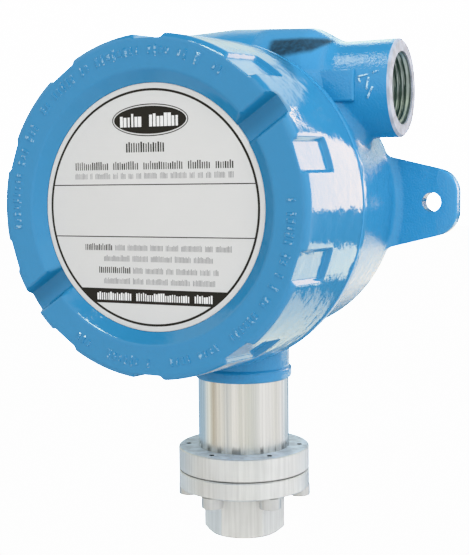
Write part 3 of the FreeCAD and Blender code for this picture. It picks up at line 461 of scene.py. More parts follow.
def milled_finish(name, base, roughness, factor=1.0):
    """Satin metal with faint upright tool marks, which scatter half of the light."""
    metal = Finish(name, {"Metallic": 0.5, "IOR": 1.5})
    x, y, z = metal.parts(metal.place)
    brush = metal.noise(metal.vector(x * 900.0, y * 900.0, z * 40.0), 1.0, 3.0)
    uneven = metal.grain(70.0, 3.0).step(0.3, 0.7) * 0.4 + brush.step(0.3, 0.7) * 0.6
    tone = metal.blend(uneven, shade(base, factor), shade(base, factor * 0.83))
    return metal.done(tone, roughness * 0.8 + brush * roughness * 0.4, brush, 0.006 * MM)


def plated_finish(name, base, roughness, metallic=1.0, specular=0.5):
    """Plated, cast or scuffed metal with a slight grain and no turning lines."""
    metal = Finish(name, {"Metallic": metallic, "Specular IOR Level": specular})
    grain = metal.grain(1400.0, 3.0)
    tone = metal.blend(metal.grain(260.0, 3.0).step(0.3, 0.7), base, shade(base, 0.72))
    return metal.done(tone, roughness * 0.7 + grain * roughness * 0.6, grain, 0.01 * MM)


def moulded_finish(name, base, roughness):
    """Moulded plastic, rubber or sleeve with a fine texture."""
    plastic = Finish(name, {"IOR": 1.46})
    grain = plastic.grain(2200.0)
    tone = plastic.blend(plastic.grain(80.0), base, shade(base, 1.25))
    return plastic.done(tone, roughness + (grain - 0.5) * 0.2, grain, 0.012 * MM)


def plate_finish(name, base):
    """Satin plate with fine brushed lines from side to side."""
    plate = Finish(name, {"IOR": 1.5})
    x, y, z = plate.parts(plate.place)
    brush = plate.noise(plate.vector(x * 40.0, y, z * 5200.0), 1.0)
    tone = plate.blend(brush * 0.5 + plate.grain(40.0) * 0.5, base, shade(base, 0.94))
    return plate.done(tone, 0.32 + brush * 0.16, brush, 0.002 * MM)


def ink_finish(name, base):
    """Screen-printed ink with a slight unevenness."""
    ink = Finish(name, {"IOR": 1.45})
    cover = ink.grain(700.0, 3.0)
    return ink.done(ink.blend(cover, base, shade(base, 1.3)), 0.4 + cover * 0.2)


# Each finish's maker, the name of its material, its colour and what else its maker takes.
FINISHES = {
    "enamel": (enamel_finish, "blue_enamel", "enamel"),
    # The next two finishes carry painted glints on the raised marks.
    "worn": (enamel_finish, "worn_enamel", "enamel", 0.5),
    "rubbed": (enamel_finish, "rubbed_enamel", "enamel", 1.0),
    "plate": (plate_finish, "satin_plate", "plate"),
    "ink": (ink_finish, "dark_ink", "ink"),
    "pale_ink": (ink_finish, "pale_ink", "pale_ink"),
    "grey_ink": (ink_finish, "grey_ink", "grey_ink"),
    "bright_steel": (turned_finish, "bright_steel", "steel", 0.22, FLANGE_TOP),
    "satin_steel": (milled_finish, "satin_steel", "satin", 0.46),
    "screw_steel": (milled_finish, "screw_steel", "satin", 0.38, 0.88),
    "faced_steel": (plated_finish, "faced_steel", "faced", 0.5, 0.3),
    "hole": (plated_finish, "drilled_hole", "hole", 0.7, 0.0),
    "hub": (plated_finish, "hub_face", "hub", 0.5, 0.0, 0.12),
    "hub_thread": (plated_finish, "hub_thread", "hub_thread", 0.32, 0.8),
    "bare": (plated_finish, "machined_thread", "bare", 0.34),
    "cast": (plated_finish, "cast_inside", "cast", 0.55),
    "zinc": (plated_finish, "zinc_plating", "zinc", 0.32),
    "brass": (plated_finish, "machined_brass", "brass", 0.28),
    "spring": (plated_finish, "spring_wire", "spring", 0.36),
    "black": (moulded_finish, "black_moulding", "black", 0.45),
    "red": (moulded_finish, "red_moulding", "red", 0.42),
    "sleeve": (moulded_finish, "lead_sleeve", "sleeve", 0.5),
    "rubber": (moulded_finish, "seal_rubber", "rubber", 0.7),
}
MADE = {}


def finish(name):
    """A finish by name, made when it is first asked for."""
    if name not in MADE:
        maker, label, base, *values = FINISHES[name]
        MADE[name] = maker(label, getattr(bpy.context.scene.pressure_switch.colours, base), *values)
    return MADE[name]


def placed(piece, body, slot, *nodes):
    """Let a piece ride on its body and stand for its nodes; its slot is not used."""
    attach(piece, body)
    if nodes:
        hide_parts(*nodes)
    return piece


def piece_from(name, mesh, *finishes):
    """An object at the origin that shows a mesh."""
    for material in finishes:
        mesh.materials.append(finish(material))
    piece = bpy.data.objects.new(name, mesh)
    bpy.context.scene.collection.objects.link(piece)
    return piece


def smoothed(mesh, degrees):
    """Smooth shading, with edges sharper than an angle kept sharp."""
    mesh.shade_smooth()
    mesh.set_sharp_from_angle(angle=math.radians(degrees))
    return mesh


@contextmanager
def editing(mesh, source=None):
    """A mesh, or the source it is made from, as a bmesh that is written to the mesh at the end."""
    work = bmesh.new()
    work.from_mesh(source or mesh)
    yield work
    work.to_mesh(mesh)
    work.free()


def closed(mesh):
    """Weld doubles and turn every face outwards."""
    with editing(mesh) as work:
        bmesh.ops.remove_doubles(work, verts=work.verts, dist=WELD / 10)
        bmesh.ops.dissolve_degenerate(work, edges=work.edges, dist=WELD / 10)
        bmesh.ops.recalc_face_normals(work, faces=work.faces)
    return mesh


def copied(node, name):
    """A welded copy of a node's mesh, without the normals that belonged to the separate faces."""
    mesh = bpy.data.meshes.new(name)
    with editing(mesh, frame["nodes"][node].data) as work:
        bmesh.ops.remove_doubles(work, verts=work.verts, dist=WELD)
        bmesh.ops.dissolve_degenerate(work, edges=work.edges, dist=WELD)
    if "custom_normal" in mesh.attributes:
        mesh.attributes.remove(mesh.attributes["custom_normal"])
    return mesh


def bevelled(work, edges, width, steps):
    """Round some edges of a bmesh."""
    bmesh.ops.bevel(work, geom=edges, offset=width, offset_type="OFFSET", segments=steps, profile=0.5,
                    affect="EDGES", clamp_overlap=True)


def rounded(corners, arc_steps=6):
    """Points along (a, b) or (a, b, radius) corners, each turned on its radius."""
    points = []
    for index, corner in enumerate(corners):
        here = Vector(corner[:2])
        if len(corner) < 3:
            points.append(here)
            continue
        radius = corner[2]
        back = (Vector(corners[index - 1][:2]) - here).normalized()
        on = (Vector(corners[(index + 1) % len(corners)][:2]) - here).normalized()
        half = back.angle(on) / 2
        centre = here + (back + on).normalized() * (radius / math.sin(half))
        first = here + back * (radius / math.tan(half)) - centre
        last = here + on * (radius / math.tan(half)) - centre
        turn = first.angle_signed(last)
        for step in range(arc_steps + 1):
            points.append(centre + Matrix.Rotation(-turn * step / arc_steps, 2) @ first)
    return np.array([tuple(point) for point in points])


def divided(points, longest):
    """Points with every run cut into steps no longer than a limit."""
    rows = [points[0]]
    for start, end in zip(points[:-1], points[1:]):
        steps = max(1, math.ceil(np.linalg.norm(end - start) / longest - WELD))
        rows += [start + (end - start) * (step + 1) / steps for step in range(steps)]
    return np.array(rows)


def about_y(r, theta, y):
    """Points round the cover's axis; angles run from the hub's side upwards."""
    r, theta, y = np.broadcast_arrays(r, theta, y)
    return np.stack([r * np.cos(theta), y, AXIS_Z + r * np.sin(theta)], axis=-1)


def about_z(r, theta, z):
    """Points round the stem's axis."""
    r, theta, z = np.broadcast_arrays(r, theta, z)
    return np.stack([r * np.cos(theta), r * np.sin(theta), z], axis=-1)


def wrapped(name, points):
    """A mesh from rows of points that each close on themselves."""
    rows, columns = points.shape[:2]
    index = np.arange(rows * columns).reshape(rows, columns)
    right = np.roll(index, -1, axis=1)
    faces = np.stack([index[:-1], right[:-1], right[1:], index[1:]], axis=-1).reshape(-1, 4)
    mesh = bpy.data.meshes.new(name)
    mesh.from_pydata(points.reshape(-1, 3).tolist(), [], faces.tolist())
    return mesh


def spun(rows, angles):
    """Points round the stem's axis from rows of (radius, height)."""
    return np.stack([about_z(r, angles, z) for r, z in rows])


def turned(name, points, degrees):
    """A closed mesh from rows of points, with edges sharper than an angle kept sharp."""
    return smoothed(closed(wrapped(name, points)), degrees)


def evenly(columns):
    """Angles of evenly spread columns."""
    return np.linspace(0.0, TURN, columns, endpoint=False)


def smoothstep(value):
    t = np.clip(value, 0.0, 1.0)
    return t * t * (3 - 2 * t)


def soft_least(values, soft):
    """The least of several values, rounded where two are nearly equal."""
    values = np.broadcast_arrays(*values)
    least = np.minimum.reduce(values)
    return least - soft * np.log(sum(np.exp((least - value) / soft) for value in values))


def hexagon(angles, flats, clock, soft):
    """Radius of a hexagon with slightly rounded corners, one of them at clock."""
    sides = [np.cos(angles - clock - TURN * (side + 0.5) / 6) for side in range(6)]
    return soft_least([flats / 2 / np.maximum(side, 0.1) for side in sides], soft)


def nearest_turn(angles, clock):
    """Angles measured from a clock direction, between minus and plus half a turn."""
    return np.mod(angles - clock + math.pi, TURN) - math.pi


class Tree(Graph):
    """A Geometry Nodes tree with named inputs."""

    def __init__(self, name, inputs):
        super().__init__(bpy.data.node_groups.new(name, "GeometryNodeTree"))
        for label, kind in inputs.items():
            self.tree.interface.new_socket(label, in_out="INPUT", socket_type=kind)
        self.tree.interface.new_socket("Result", in_out="OUTPUT", socket_type=GEOMETRY)
        entry = self.tree.nodes.new("NodeGroupInput")
        self.given = {label: Field(self, entry.outputs[label]) for label in inputs}

    def random(self, low, high, seed):
        """A seeded number for each point."""
        return self.node("FunctionNodeRandomValue", {"data_type": "FLOAT"},
                         {2: low, 3: high, "ID": self.node("GeometryNodeInputIndex"), "Seed": seed}, output=1)

    def thinned(self, points, share, seed):
        """Points with a seeded share of them taken out."""
        return self.node("GeometryNodeDeleteGeometry", {"domain": "POINT"},
                         {"Geometry": points, "Selection": self.random(0.0, 1.0, seed) < share})

    def strewn(self, points, shape, turn, scale):
        """A shape on every point."""
        return self.node("GeometryNodeInstanceOnPoints", None,
                         {"Points": points, "Instance": shape, "Rotation": turn, "Scale": scale})

    def moved(self, shape, place, turn):
        return self.node("GeometryNodeTransform", None,
                         {"Geometry": shape, "Translation": place, "Rotation": turn})

    def joined(self, shapes):
        return self.node("GeometryNodeJoinGeometry", None, {"Geometry": shapes})

    def finish(self, shape):
        """End in plain geometry that has the material the tree was given."""
        plain = self.node("GeometryNodeRealizeInstances", None, {"Geometry": shape})
        dressed = self.node("GeometryNodeSetMaterial", None,
                            {"Geometry": plain, "Material": self.given["Material"]})
        self.node("NodeGroupOutput", None, {"Result": dressed})
        return self.tree


def grown(name, tree, values, base=None):
    """The piece that a tree makes from its named inputs, as a plain mesh."""
    piece = piece_from(name, base or bpy.data.meshes.new(name))
    modifier = piece.modifiers.new(tree.name, "NODES")
    modifier.node_group = tree
    for item in tree.interface.items_tree:
        if item.in_out == "INPUT" and item.socket_type != GEOMETRY:
            modifier[item.identifier] = values[item.name]
    evaluated = piece.evaluated_get(bpy.context.evaluated_depsgraph_get())
    mesh = bpy.data.meshes.new_from_object(evaluated)
    piece.modifiers.remove(modifier)
    piece.data = mesh
    mesh.name = name
    if not mesh.polygons:
        raise RuntimeError(f"{name} came out empty")
    return piece


def thread_tree():
    """A closed ring whose face carries a right-hand thread along its axis."""
    tree = Tree("thread_ring", {"Root radius": FLOAT, "Crest radius": FLOAT, "Back radius": FLOAT,
                                "Length": FLOAT, "Pitch": FLOAT, "Columns": INT, "Rows": INT,
                                "Place": VECTOR, "Turn": VECTOR, "Material": MATERIAL})
    given = tree.given
    rows, run = given["Rows"], given["Length"]
    grid = tree.node("GeometryNodeMeshGrid", None, {"Size X": 1.0, "Size Y": 1.0,
                                                    "Vertices X": given["Columns"] + 1,
                                                    "Vertices Y": rows + 3})
    x, y, _ = tree.parts(tree.node("GeometryNodeInputPosition"))
    around = x + 0.5
    row = (y + 0.5) * (rows + 2)
    share = ((row - 1) / (rows - 1)).clamped() * (row < rows + 1.5)
    level = share * run
    ridge = 1 - (2 * (level / given["Pitch"] - around).math("FRACT") - 1).math("ABSOLUTE")
    ridge = ((ridge - 0.15) / 0.7).clamped()
    fade = (share.math("MINIMUM", 1 - share) * run / given["Pitch"]).clamped()
    face = given["Root radius"] + (given["Crest radius"] - given["Root radius"]) * ridge * fade
    behind = (row < 0.5) + (row > rows + 0.5)
    radius = face + (given["Back radius"] - face) * behind
    turn = around * TURN
    bent = tree.node("GeometryNodeSetPosition", None, {
        "Geometry": grid,
        "Position": tree.vector(radius * turn.math("COSINE"), radius * turn.math("SINE"), level)})
    welded = tree.node("GeometryNodeMergeByDistance", None, {"Geometry": bent, "Distance": WELD})
    return tree.finish(tree.moved(welded, given["Place"], given["Turn"]))


def screws_tree():
    """One shape repeated on a circle round the stem's axis."""
    tree = Tree("screws_on_a_circle", {"Shape": OBJECT, "Count": INT, "Circle radius": FLOAT,
                                       "Clock": FLOAT, "Level": FLOAT, "Material": MATERIAL})
    given = tree.given
    circle = tree.node("GeometryNodeMeshCircle", None, {"Vertices": given["Count"],
                                                        "Radius": given["Circle radius"]})
    points = tree.moved(circle, tree.vector(0.0, 0.0, given["Level"]), tree.vector(0.0, 0.0, given["Clock"]))
    shape = tree.node("GeometryNodeObjectInfo", None, {"Object": given["Shape"]}, output="Geometry")
    return tree.finish(tree.strewn(points, shape, (0.0, 0.0, 0.0), (1.0, 1.0, 1.0)))


def print_tree(name, rows):
    """Printed fields joined with rows of fine strokes.

    A row is (left, right, middle, height, weight, places of each group), with its first four in millimetres.
    """
    tree = Tree(name, {"Fields": GEOMETRY, "Face": FLOAT, "Thickness": FLOAT, "Seed": INT,
                       "Material": MATERIAL})
    given = tree.given
    shapes = [given["Fields"]]
    block = tree.node("GeometryNodeMeshCube")
    level = given["Face"] - given["Thickness"] / 2
    for left, right, middle, height, weight, groups in rows:
        step = (right - left) / (sum(groups) + len(groups) - 1) * MM / 2
        start = left * MM + step / 2
        for places in groups:
            blocks = 2 * places
            seed = given["Seed"] + 10 * len(shapes)
            line = tree.node("GeometryNodeMeshLine", {"mode": "OFFSET"}, {
                "Count": blocks, "Start Location": (start, 0.0, 0.0), "Offset": (step, 0.0, 0.0)})
            share = tree.random(0.7, 1.0, seed + 1)
            lift = tree.vector(0.0, level, (share - 1) * height * MM / 2 + AXIS_Z + middle * MM)
            points = tree.node("GeometryNodeSetPosition", None, {"Geometry": line, "Offset": lift})
            wide = step * tree.random(0.7 * weight, 1.3 * weight, seed)
            scale = tree.vector(wide, given["Thickness"], share * height * MM)
            shapes.append(tree.strewn(points, block, (0.0, 0.0, 0.0), scale))
            start += (blocks + 2) * step
    return tree.finish(tree.joined(shapes))


def raised_block(tree):
    """A block one unit wide and high that narrows towards its top."""
    block = tree.node("GeometryNodeMeshCone", None, {"Vertices": 4, "Radius Top": 0.5,
                                                     "Radius Bottom": math.sqrt(0.5), "Depth": 1.0})
    return tree.moved(block, (0.0, 0.0, 0.0), (0.0, 0.0, math.pi / 4))


def ring_marks_tree(arcs):
    """Raised marks along arcs of the cover's front ring, each arc as (first, last) degrees."""
    tree = Tree("ring_marks", {"Ring radius": FLOAT, "Spacing": FLOAT, "Width": FLOAT, "Height": FLOAT,
                               "Rise": FLOAT, "Face": FLOAT, "Gaps": FLOAT, "Seed": INT,
                               "Material": MATERIAL})
    given = tree.given
    radius = given["Ring radius"]
    shapes = []
    for number, (first, last) in enumerate(arcs):
        first, sweep = math.radians(first), math.radians(last - first)
        blocks = (sweep * radius / given["Spacing"]).math("FLOOR")
        line = tree.node("GeometryNodeMeshLine", {"mode": "OFFSET"}, {"Count": blocks})
        turn = first + tree.node("GeometryNodeInputIndex") * sweep / blocks
        bent = tree.node("GeometryNodeSetPosition", None, {"Geometry": line, "Position": tree.vector(
            radius * turn.math("COSINE"), given["Face"], AXIS_Z + radius * turn.math("SINE"))})
        seed = given["Seed"] + 10 * number
        kept = tree.thinned(bent, given["Gaps"], seed)
        x, _, z = tree.parts(tree.node("GeometryNodeInputPosition"))
        upright = x.math("ARCTAN2", z - AXIS_Z)
        scale = tree.vector(given["Width"] * tree.random(0.5, 1.0, seed + 1),
                            given["Height"] * tree.random(0.5, 1.0, seed + 2), given["Rise"])
        shapes.append(tree.strewn(kept, raised_block(tree), tree.vector(math.pi / 2, upright, 0.0), scale))
    return tree.finish(tree.joined(shapes))


def hub_marks_tree(marks):
    """Raised marks on the front of the hub, each as (x, z, length, tilt) in millimetres and degrees."""
    tree = Tree("hub_marks", {"Hub radius": FLOAT, "Width": FLOAT, "Rise": FLOAT, "Material": MATERIAL})
    given = tree.given
    shapes = []
    for x, z, long, tilt in marks:
        lean = ((z * MM - HUB_MOUTH.z) / given["Hub radius"]).math("ARCSINE")
        shapes.append(tree.node("GeometryNodeTransform", None, {
            "Geometry": raised_block(tree), "Scale": tree.vector(given["Width"], long * MM, given["Rise"]),
            "Rotation": tree.vector(math.pi / 2 - lean, math.radians(tilt), 0.0),
            "Translation": tree.vector(x * MM, given["Hub radius"] * lean.math("COSINE") * -1.0, z * MM)}))
    return tree.finish(tree.joined(shapes))


def cover_columns(cover, slot_clocks):
    """Angles of the cover's columns, close together at notch walls and bar slots."""
    wall = cover.notch_half_width / cover.front_radius
    turn = np.array([-0.56, -0.4, -0.22, 0.0, 0.22, 0.4, 0.56]) * cover.soft_edge / cover.front_radius
    keys = []
    for number in range(cover.notch_count):
        centre = cover.notch_clock + TURN * number / cover.notch_count
        for side in (-1, 1):
            keys += list(centre + side * (wall + turn))
    half = cover.slot_half_width
    near = np.array([0.02, 0.08, 0.2, 0.4, 0.7, 1.0]) * MM
    across = np.concatenate([[0.0, half * 0.35, half * 0.65], half - near[::-1], half + near,
                             half + np.array([1.5, 2.0, 2.5]) * MM])
    for clock in slot_clocks:
        for side in (-1, 1):
            keys += list(clock + side * np.arcsin(across / cover.front_radius))
    keys = np.unique(np.round(np.mod(keys, TURN), 6))
    longest = math.radians(1.6)
    angles = []
    for start, end in zip(keys, np.append(keys[1:], keys[0] + TURN)):
        steps = max(1, math.ceil((end - start) / longest))
        angles += [start + (end - start) * step / steps for step in range(steps)]
    return np.array(angles)


def slot_drop(cover, across):
    """Depth of a bar slot below the front at a distance from its middle line: steep walls with soft edges."""
    wall = cover.slot_edge * 0.8
    return cover.slot_depth * smoothstep((cover.slot_half_width - across) / wall + 0.75)


class PSWITCH_OT_cover(bpy.types.Operator):
    """Build the screw cover with its finger notches, bar slots and recess"""
    bl_idname = "pressure_switch.cover"
    bl_label = "Screw cover"

    def execute(self, context):
        looks = context.scene.pressure_switch
        cover, threads = looks.cover, looks.threads
        slot_clocks = (cover.slot_clock, cover.slot_clock + math.pi)
        angles = cover_columns(cover, slot_clocks)
        inside = self.inside(cover, threads)
        outside = self.outside(cover)
        r, theta, y = (np.array(part) for part in np.broadcast_arrays(
            outside[:, :1], angles[None, :], outside[:, 1:]))
        for clock in slot_clocks:
            theta, y = self.slotted(cover, clock, angles, r, theta, y)
        for number in range(cover.notch_count):
            r = self.notched(cover, cover.notch_clock + TURN * number / cover.notch_count, r, theta, y)
        hollow = about_y(inside[:, :1], angles[None, :], inside[:, 1:])
        mesh = wrapped("cover_shell", np.concatenate([hollow, about_y(r, theta, y)]))
        bare = np.arange(len(mesh.polygons)) < (len(inside) - 1) * len(angles)
        mesh.polygons.foreach_set("material_index", bare.astype(np.int32))
        shell = piece_from("cover_shell", smoothed(closed(mesh), 42), "enamel", "cast")
        placed(shell, "cover", "enamel", "cover")
        return {"FINISHED"}

    @staticmethod
    def inside(cover, threads):
        """Section of the hollow, from the axis out to the rear edge."""
        end = PLATE_HIGH.y + cover.floor_thickness
        corner = 3 * MM
        inner, wall = cover.inner_radius, threads.cover_crest + threads.cover_depth + threads.clearance
        return np.array([(0.0, end), (inner / 2, end), (inner - corner, end), (inner, end + corner),
                         (inner, cover.thread_front), (wall, cover.thread_front), (wall, cover.thread_rear),
                         (cover.groove_radius, cover.thread_rear), (cover.groove_radius, COVER_HIGH.y),
                         (COVER_HIGH.x - cover.rear_chamfer, COVER_HIGH.y)])

    @staticmethod
    def outside(cover):
        """Section of the skirt, the front ring and the recess, from the rear edge in to the axis."""
        front = COVER_LOW.y + cover.front_inset
        start = COVER_HIGH.y - cover.rear_chamfer
        plate_r = PLATE_HIGH.x + HAIR
        chamfer = (COVER_HIGH.x - cover.rear_chamfer, COVER_HIGH.y)
        section = rounded([chamfer, (COVER_HIGH.x, COVER_HIGH.y, cover.rear_chamfer * 0.98),
                           (cover.front_radius, front, cover.edge_radius),
                           (cover.recess_radius, front, cover.recess_edge), (plate_r, PLATE_LOW.y),
                           (plate_r, PLATE_HIGH.y), (0.0, PLATE_HIGH.y)], EDGE_STEPS)
        skirt = EDGE_STEPS + 2
        taper = (cover.front_radius - COVER_HIGH.x) / (front - start)
        shares = np.array([0.7, 0.5, 0.34, 0.18, 0.0, -0.18, -0.34, -0.5, -0.7])
        levels = COVER_LOW.y + cover.notch_length + cover.soft_edge * shares
        walls = np.stack([COVER_HIGH.x + taper * (levels - start), levels], axis=-1)
        return divided(np.vstack([section[:skirt], walls, section[skirt:]]), 2.6 * MM)

    @staticmethod
    def slotted(cover, clock, angles, r, theta, y):
        """Columns straightened along a bar slot, and the slot pressed into the front."""
        front = COVER_LOW.y + cover.front_inset
        plate_r = PLATE_HIGH.x + HAIR
        reach, fade = math.radians(12.0), math.radians(5.0)
        off = nearest_turn(angles, clock)[None, :]
        across = cover.front_radius * np.sin(off)
        straight = np.arcsin(np.clip(across / np.maximum(r, plate_r), -1, 1))
        near = np.clip((reach - np.abs(off)) / fade, 0, 1)
        theta = theta + np.where(np.abs(off) < reach, near * (straight - off), 0.0)
        depth = slot_drop(cover, np.abs(r * np.sin(nearest_turn(theta, clock))))
        depth = depth * (PLATE_HIGH.y - front) / (PLATE_HIGH.y - COVER_LOW.y)
        within = (np.abs(off) < math.radians(20.0)) & (r >= plate_r - WELD) & (y < PLATE_HIGH.y - WELD)
        return theta, np.where(within, np.maximum(y, front + depth), y)

    @staticmethod
    def notched(cover, clock, r, theta, y):
        """Radii with one finger notch pressed into the skirt."""
        soft = cover.soft_edge
        rear = COVER_LOW.y + cover.notch_length
        reach = 0.3
        off = nearest_turn(theta, clock)
        share = (y - rear) / (COVER_LOW.y - rear)
        floor = cover.notch_rear_floor + (cover.notch_front_floor - cover.notch_rear_floor) * share
        over = r - floor / np.cos(np.clip(off, -reach, reach))
        pressed = (over + np.sqrt(over**2 + (0.35 * MM)**2)) / 2
        sides = smoothstep((cover.notch_half_width - np.abs(cover.front_radius * np.sin(off))) / soft + 0.5)
        end = smoothstep((rear - y) / soft + 0.5)
        on_skirt = (r > cover.recess_radius + 4 * MM) & (np.abs(off) < reach)
        return r - sides * end * on_skirt * pressed


class PSWITCH_OT_housing(bpy.types.Operator):
    """Dress the cast housing: enamel outside, bare metal at the hub, the mouth and inside"""
    bl_idname = "pressure_switch.housing"
    bl_label = "Cast housing"

    def execute(self, context):
        threads = context.scene.pressure_switch.threads
        mesh = copied("housing", "housing_casting")
        self.soften_lugs(mesh)
        self.clear_mouth(mesh, threads)
        enamel, hub, cast = range(3)
        hub_radius, hub_chamfer = CASE_HIGH.z - HUB_MOUTH.z, 1.0 * MM
        rim_front = COVER_HIGH.y + 0.4 * MM
        wall, pad_top, back = 46.5 * MM, 80.5 * MM, CASE_HIGH.y - 6 * MM
        for face in mesh.polygons:
            middle = face.center
            from_axis = math.hypot(middle.x, middle.z - AXIS_Z)
            from_hub = math.hypot(middle.y, middle.z - HUB_MOUTH.z)
            in_hub = middle.x > HUB_BORE and from_hub < HUB_BORE + HAIR
            in_chamber = from_axis < wall and middle.z > pad_top and middle.y < back
            if from_hub < hub_radius and (middle.x > HUB_MOUTH.x - hub_chamfer or in_hub):
                face.material_index = hub
            elif middle.y < rim_front - HAIR or in_chamber:
                face.material_index = cast
            else:
                face.material_index = enamel
        casting = piece_from("housing_casting", smoothed(mesh, 30), "enamel", "hub", "cast")
        placed(casting, "housing", "enamel", "housing")
        return {"FINISHED"}

    @staticmethod
    def soften_lugs(mesh):
        """Take the sharp edge off the lugs' outline, as on the casting."""
        tip, root = CASE_HIGH.x + HAIR, LUG_HOLE_X - 6.5 * MM
        hole, front = 4.5 * MM, 20 * MM
        with editing(mesh) as work:
            edges = []
            for edge in work.edges:
                ends = [vertex.co for vertex in edge.verts]
                clear = all(math.hypot(abs(end.x) - LUG_HOLE_X, end.z - AXIS_Z) > hole for end in ends)
                if clear and all(root < abs(end.x) <= tip for end in ends) and len(edge.link_faces) == 2:
                    if ends[0].y > front and edge.calc_face_angle() > math.radians(60):
                        edges.append(edge)
            bevelled(work, edges, 0.9 * MM, 3)

    @staticmethod
    def clear_mouth(mesh, threads):
        """Draw the plain mouth in, so that its thread can stand on it."""
        rim, drawn = COVER_HIGH.y + 10 * HAIR, threads.mouth_radius - threads.cover_depth - 0.2 * MM
        for vertex in mesh.vertices:
            radius = math.hypot(vertex.co.x, vertex.co.z - AXIS_Z)
            if vertex.co.y < rim and abs(radius - threads.mouth_radius + 0.5 * MM) < 0.6 * MM:
                shrink = drawn / radius
                vertex.co.x *= shrink
                vertex.co.z = AXIS_Z + (vertex.co.z - AXIS_Z) * shrink


class PSWITCH_OT_stem(bpy.types.Operator):
    """Dress the turned sensor stem and build the hexagonal pressure port"""
    bl_idname = "pressure_switch.stem"
    bl_label = "Stem and port"

    def execute(self, context):
        port = context.scene.pressure_switch.port
        mesh = copied("sensor_stem", "stem_turning")
        rim, tube, top, hole = range(4)
        tube_r, rim_r = STEM_HIGH.x * 0.75, STEM_HIGH.x - 2 * port.edge
        for face in mesh.polygons:
            radius = math.hypot(face.center.x, face.center.y)
            # The flange's top takes the steel colour with a painted blue reflection.
            if face.normal.z > 0.9:
                face.material_index = top
            elif radius < tube_r:
                face.material_index = tube
            # Painted shade: the small holes' walls take the near-black hole colour.
            elif radius < rim_r and abs(face.normal.z) < 0.1:
                face.material_index = hole
            else:
                face.material_index = rim
        stem = piece_from("stem_turning", smoothed(mesh, 25), "satin_steel", "bright_steel", "faced_steel",
                          "hole")
        placed(stem, "housing", "stainless", "sensor_stem")
        mesh = turned("port_turning", self.port_points(port), 28)
        placed(piece_from("port_turning", mesh, "satin_steel"), "housing", "stainless", "pressure_port")
        return {"FINISHED"}

    @staticmethod
    def port_points(port):
        """Rows round the passage, the thread bore, the hexagon and the flange."""
        flat_r, corner_r = port.flats / 2, port.flats / math.sqrt(3)
        flange_r, top, edge = PORT_HIGH.x, PORT_HIGH.z, port.edge
        hex_top = BOLTS_LOW.z + port.head_height
        lead_in = 0.9 * MM
        bore = PORT_BORE + 0.2 * MM
        corners = port.clock + TURN * np.arange(6) / 6
        close = np.radians([0.3, 0.7, 1.2, 1.8, 2.6])
        angles = np.unique(np.mod(np.concatenate(
            [evenly(120), *(corners + side * step for side in (-1, 1) for step in close), corners]), TURN))
        sides = hexagon(angles, port.flats, port.clock, port.soft_corner)
        rows = [(port.passage, top), (port.passage, PORT_DEPTH), (bore, PORT_DEPTH), (bore, lead_in),
                (bore + lead_in, 0.0)]
        levels = np.concatenate([np.linspace(0.0, port.chamfer * 1.2, 9), np.linspace(3 * MM, hex_top, 6)])
        for level in levels:
            cone = flat_r + (corner_r + 1 * MM - flat_r) * level / port.chamfer
            rows.append((soft_least([sides, cone], port.soft_corner), level))
        rows += [(flange_r - edge, hex_top), (flange_r, hex_top + edge), (flange_r, top - edge),
                 (flange_r - edge, top), (port.passage, top)]
        return spun(rows, angles)


class PSWITCH_OT_screws(bpy.types.Operator):
    """Make the socket-head screws that hold the two flanges together"""
    bl_idname = "pressure_switch.screws"
    bl_label = "Flange screws"

    def execute(self, context):
        port = context.scene.pressure_switch.port
        shape = piece_from("screw_shape", turned("screw_shape", self.points(port), 28))
        screws = grown("flange_screws", screws_tree(), {
            "Shape": shape, "Count": port.screw_count, "Circle radius": port.screw_circle,
            "Clock": port.clock, "Level": BOLTS_LOW.z + port.head_height, "Material": finish("screw_steel")})
        bpy.data.objects.remove(shape)
        smoothed(screws.data, 28)
        placed(screws, "housing", "stainless", "flange_bolts")
        return {"FINISHED"}

    @staticmethod
    def points(port):
        """Rows of one screw, from its socket's floor round the head and up to its tip."""
        angles = evenly(36)
        socket = hexagon(angles, port.socket_flats, 0.0, 0.05 * MM)
        low, edge = -port.head_height, port.edge
        tip = BOLTS_HIGH.z - BOLTS_LOW.z - port.head_height
        rows = [(0.0, low + port.socket_depth), (socket, low + port.socket_depth), (socket, low + edge / 2),
                (socket + edge / 2, low), (port.head_radius - edge, low),
                (port.head_radius - edge * 0.3, low + edge * 0.3), (port.head_radius, low + edge),
                (port.head_radius, -edge / 4), (port.head_radius - edge / 4, 0.0), (port.shank_radius, 0.0),
                (port.shank_radius, tip - edge), (port.shank_radius - edge, tip), (0.0, tip)]
        return spun(rows, angles)


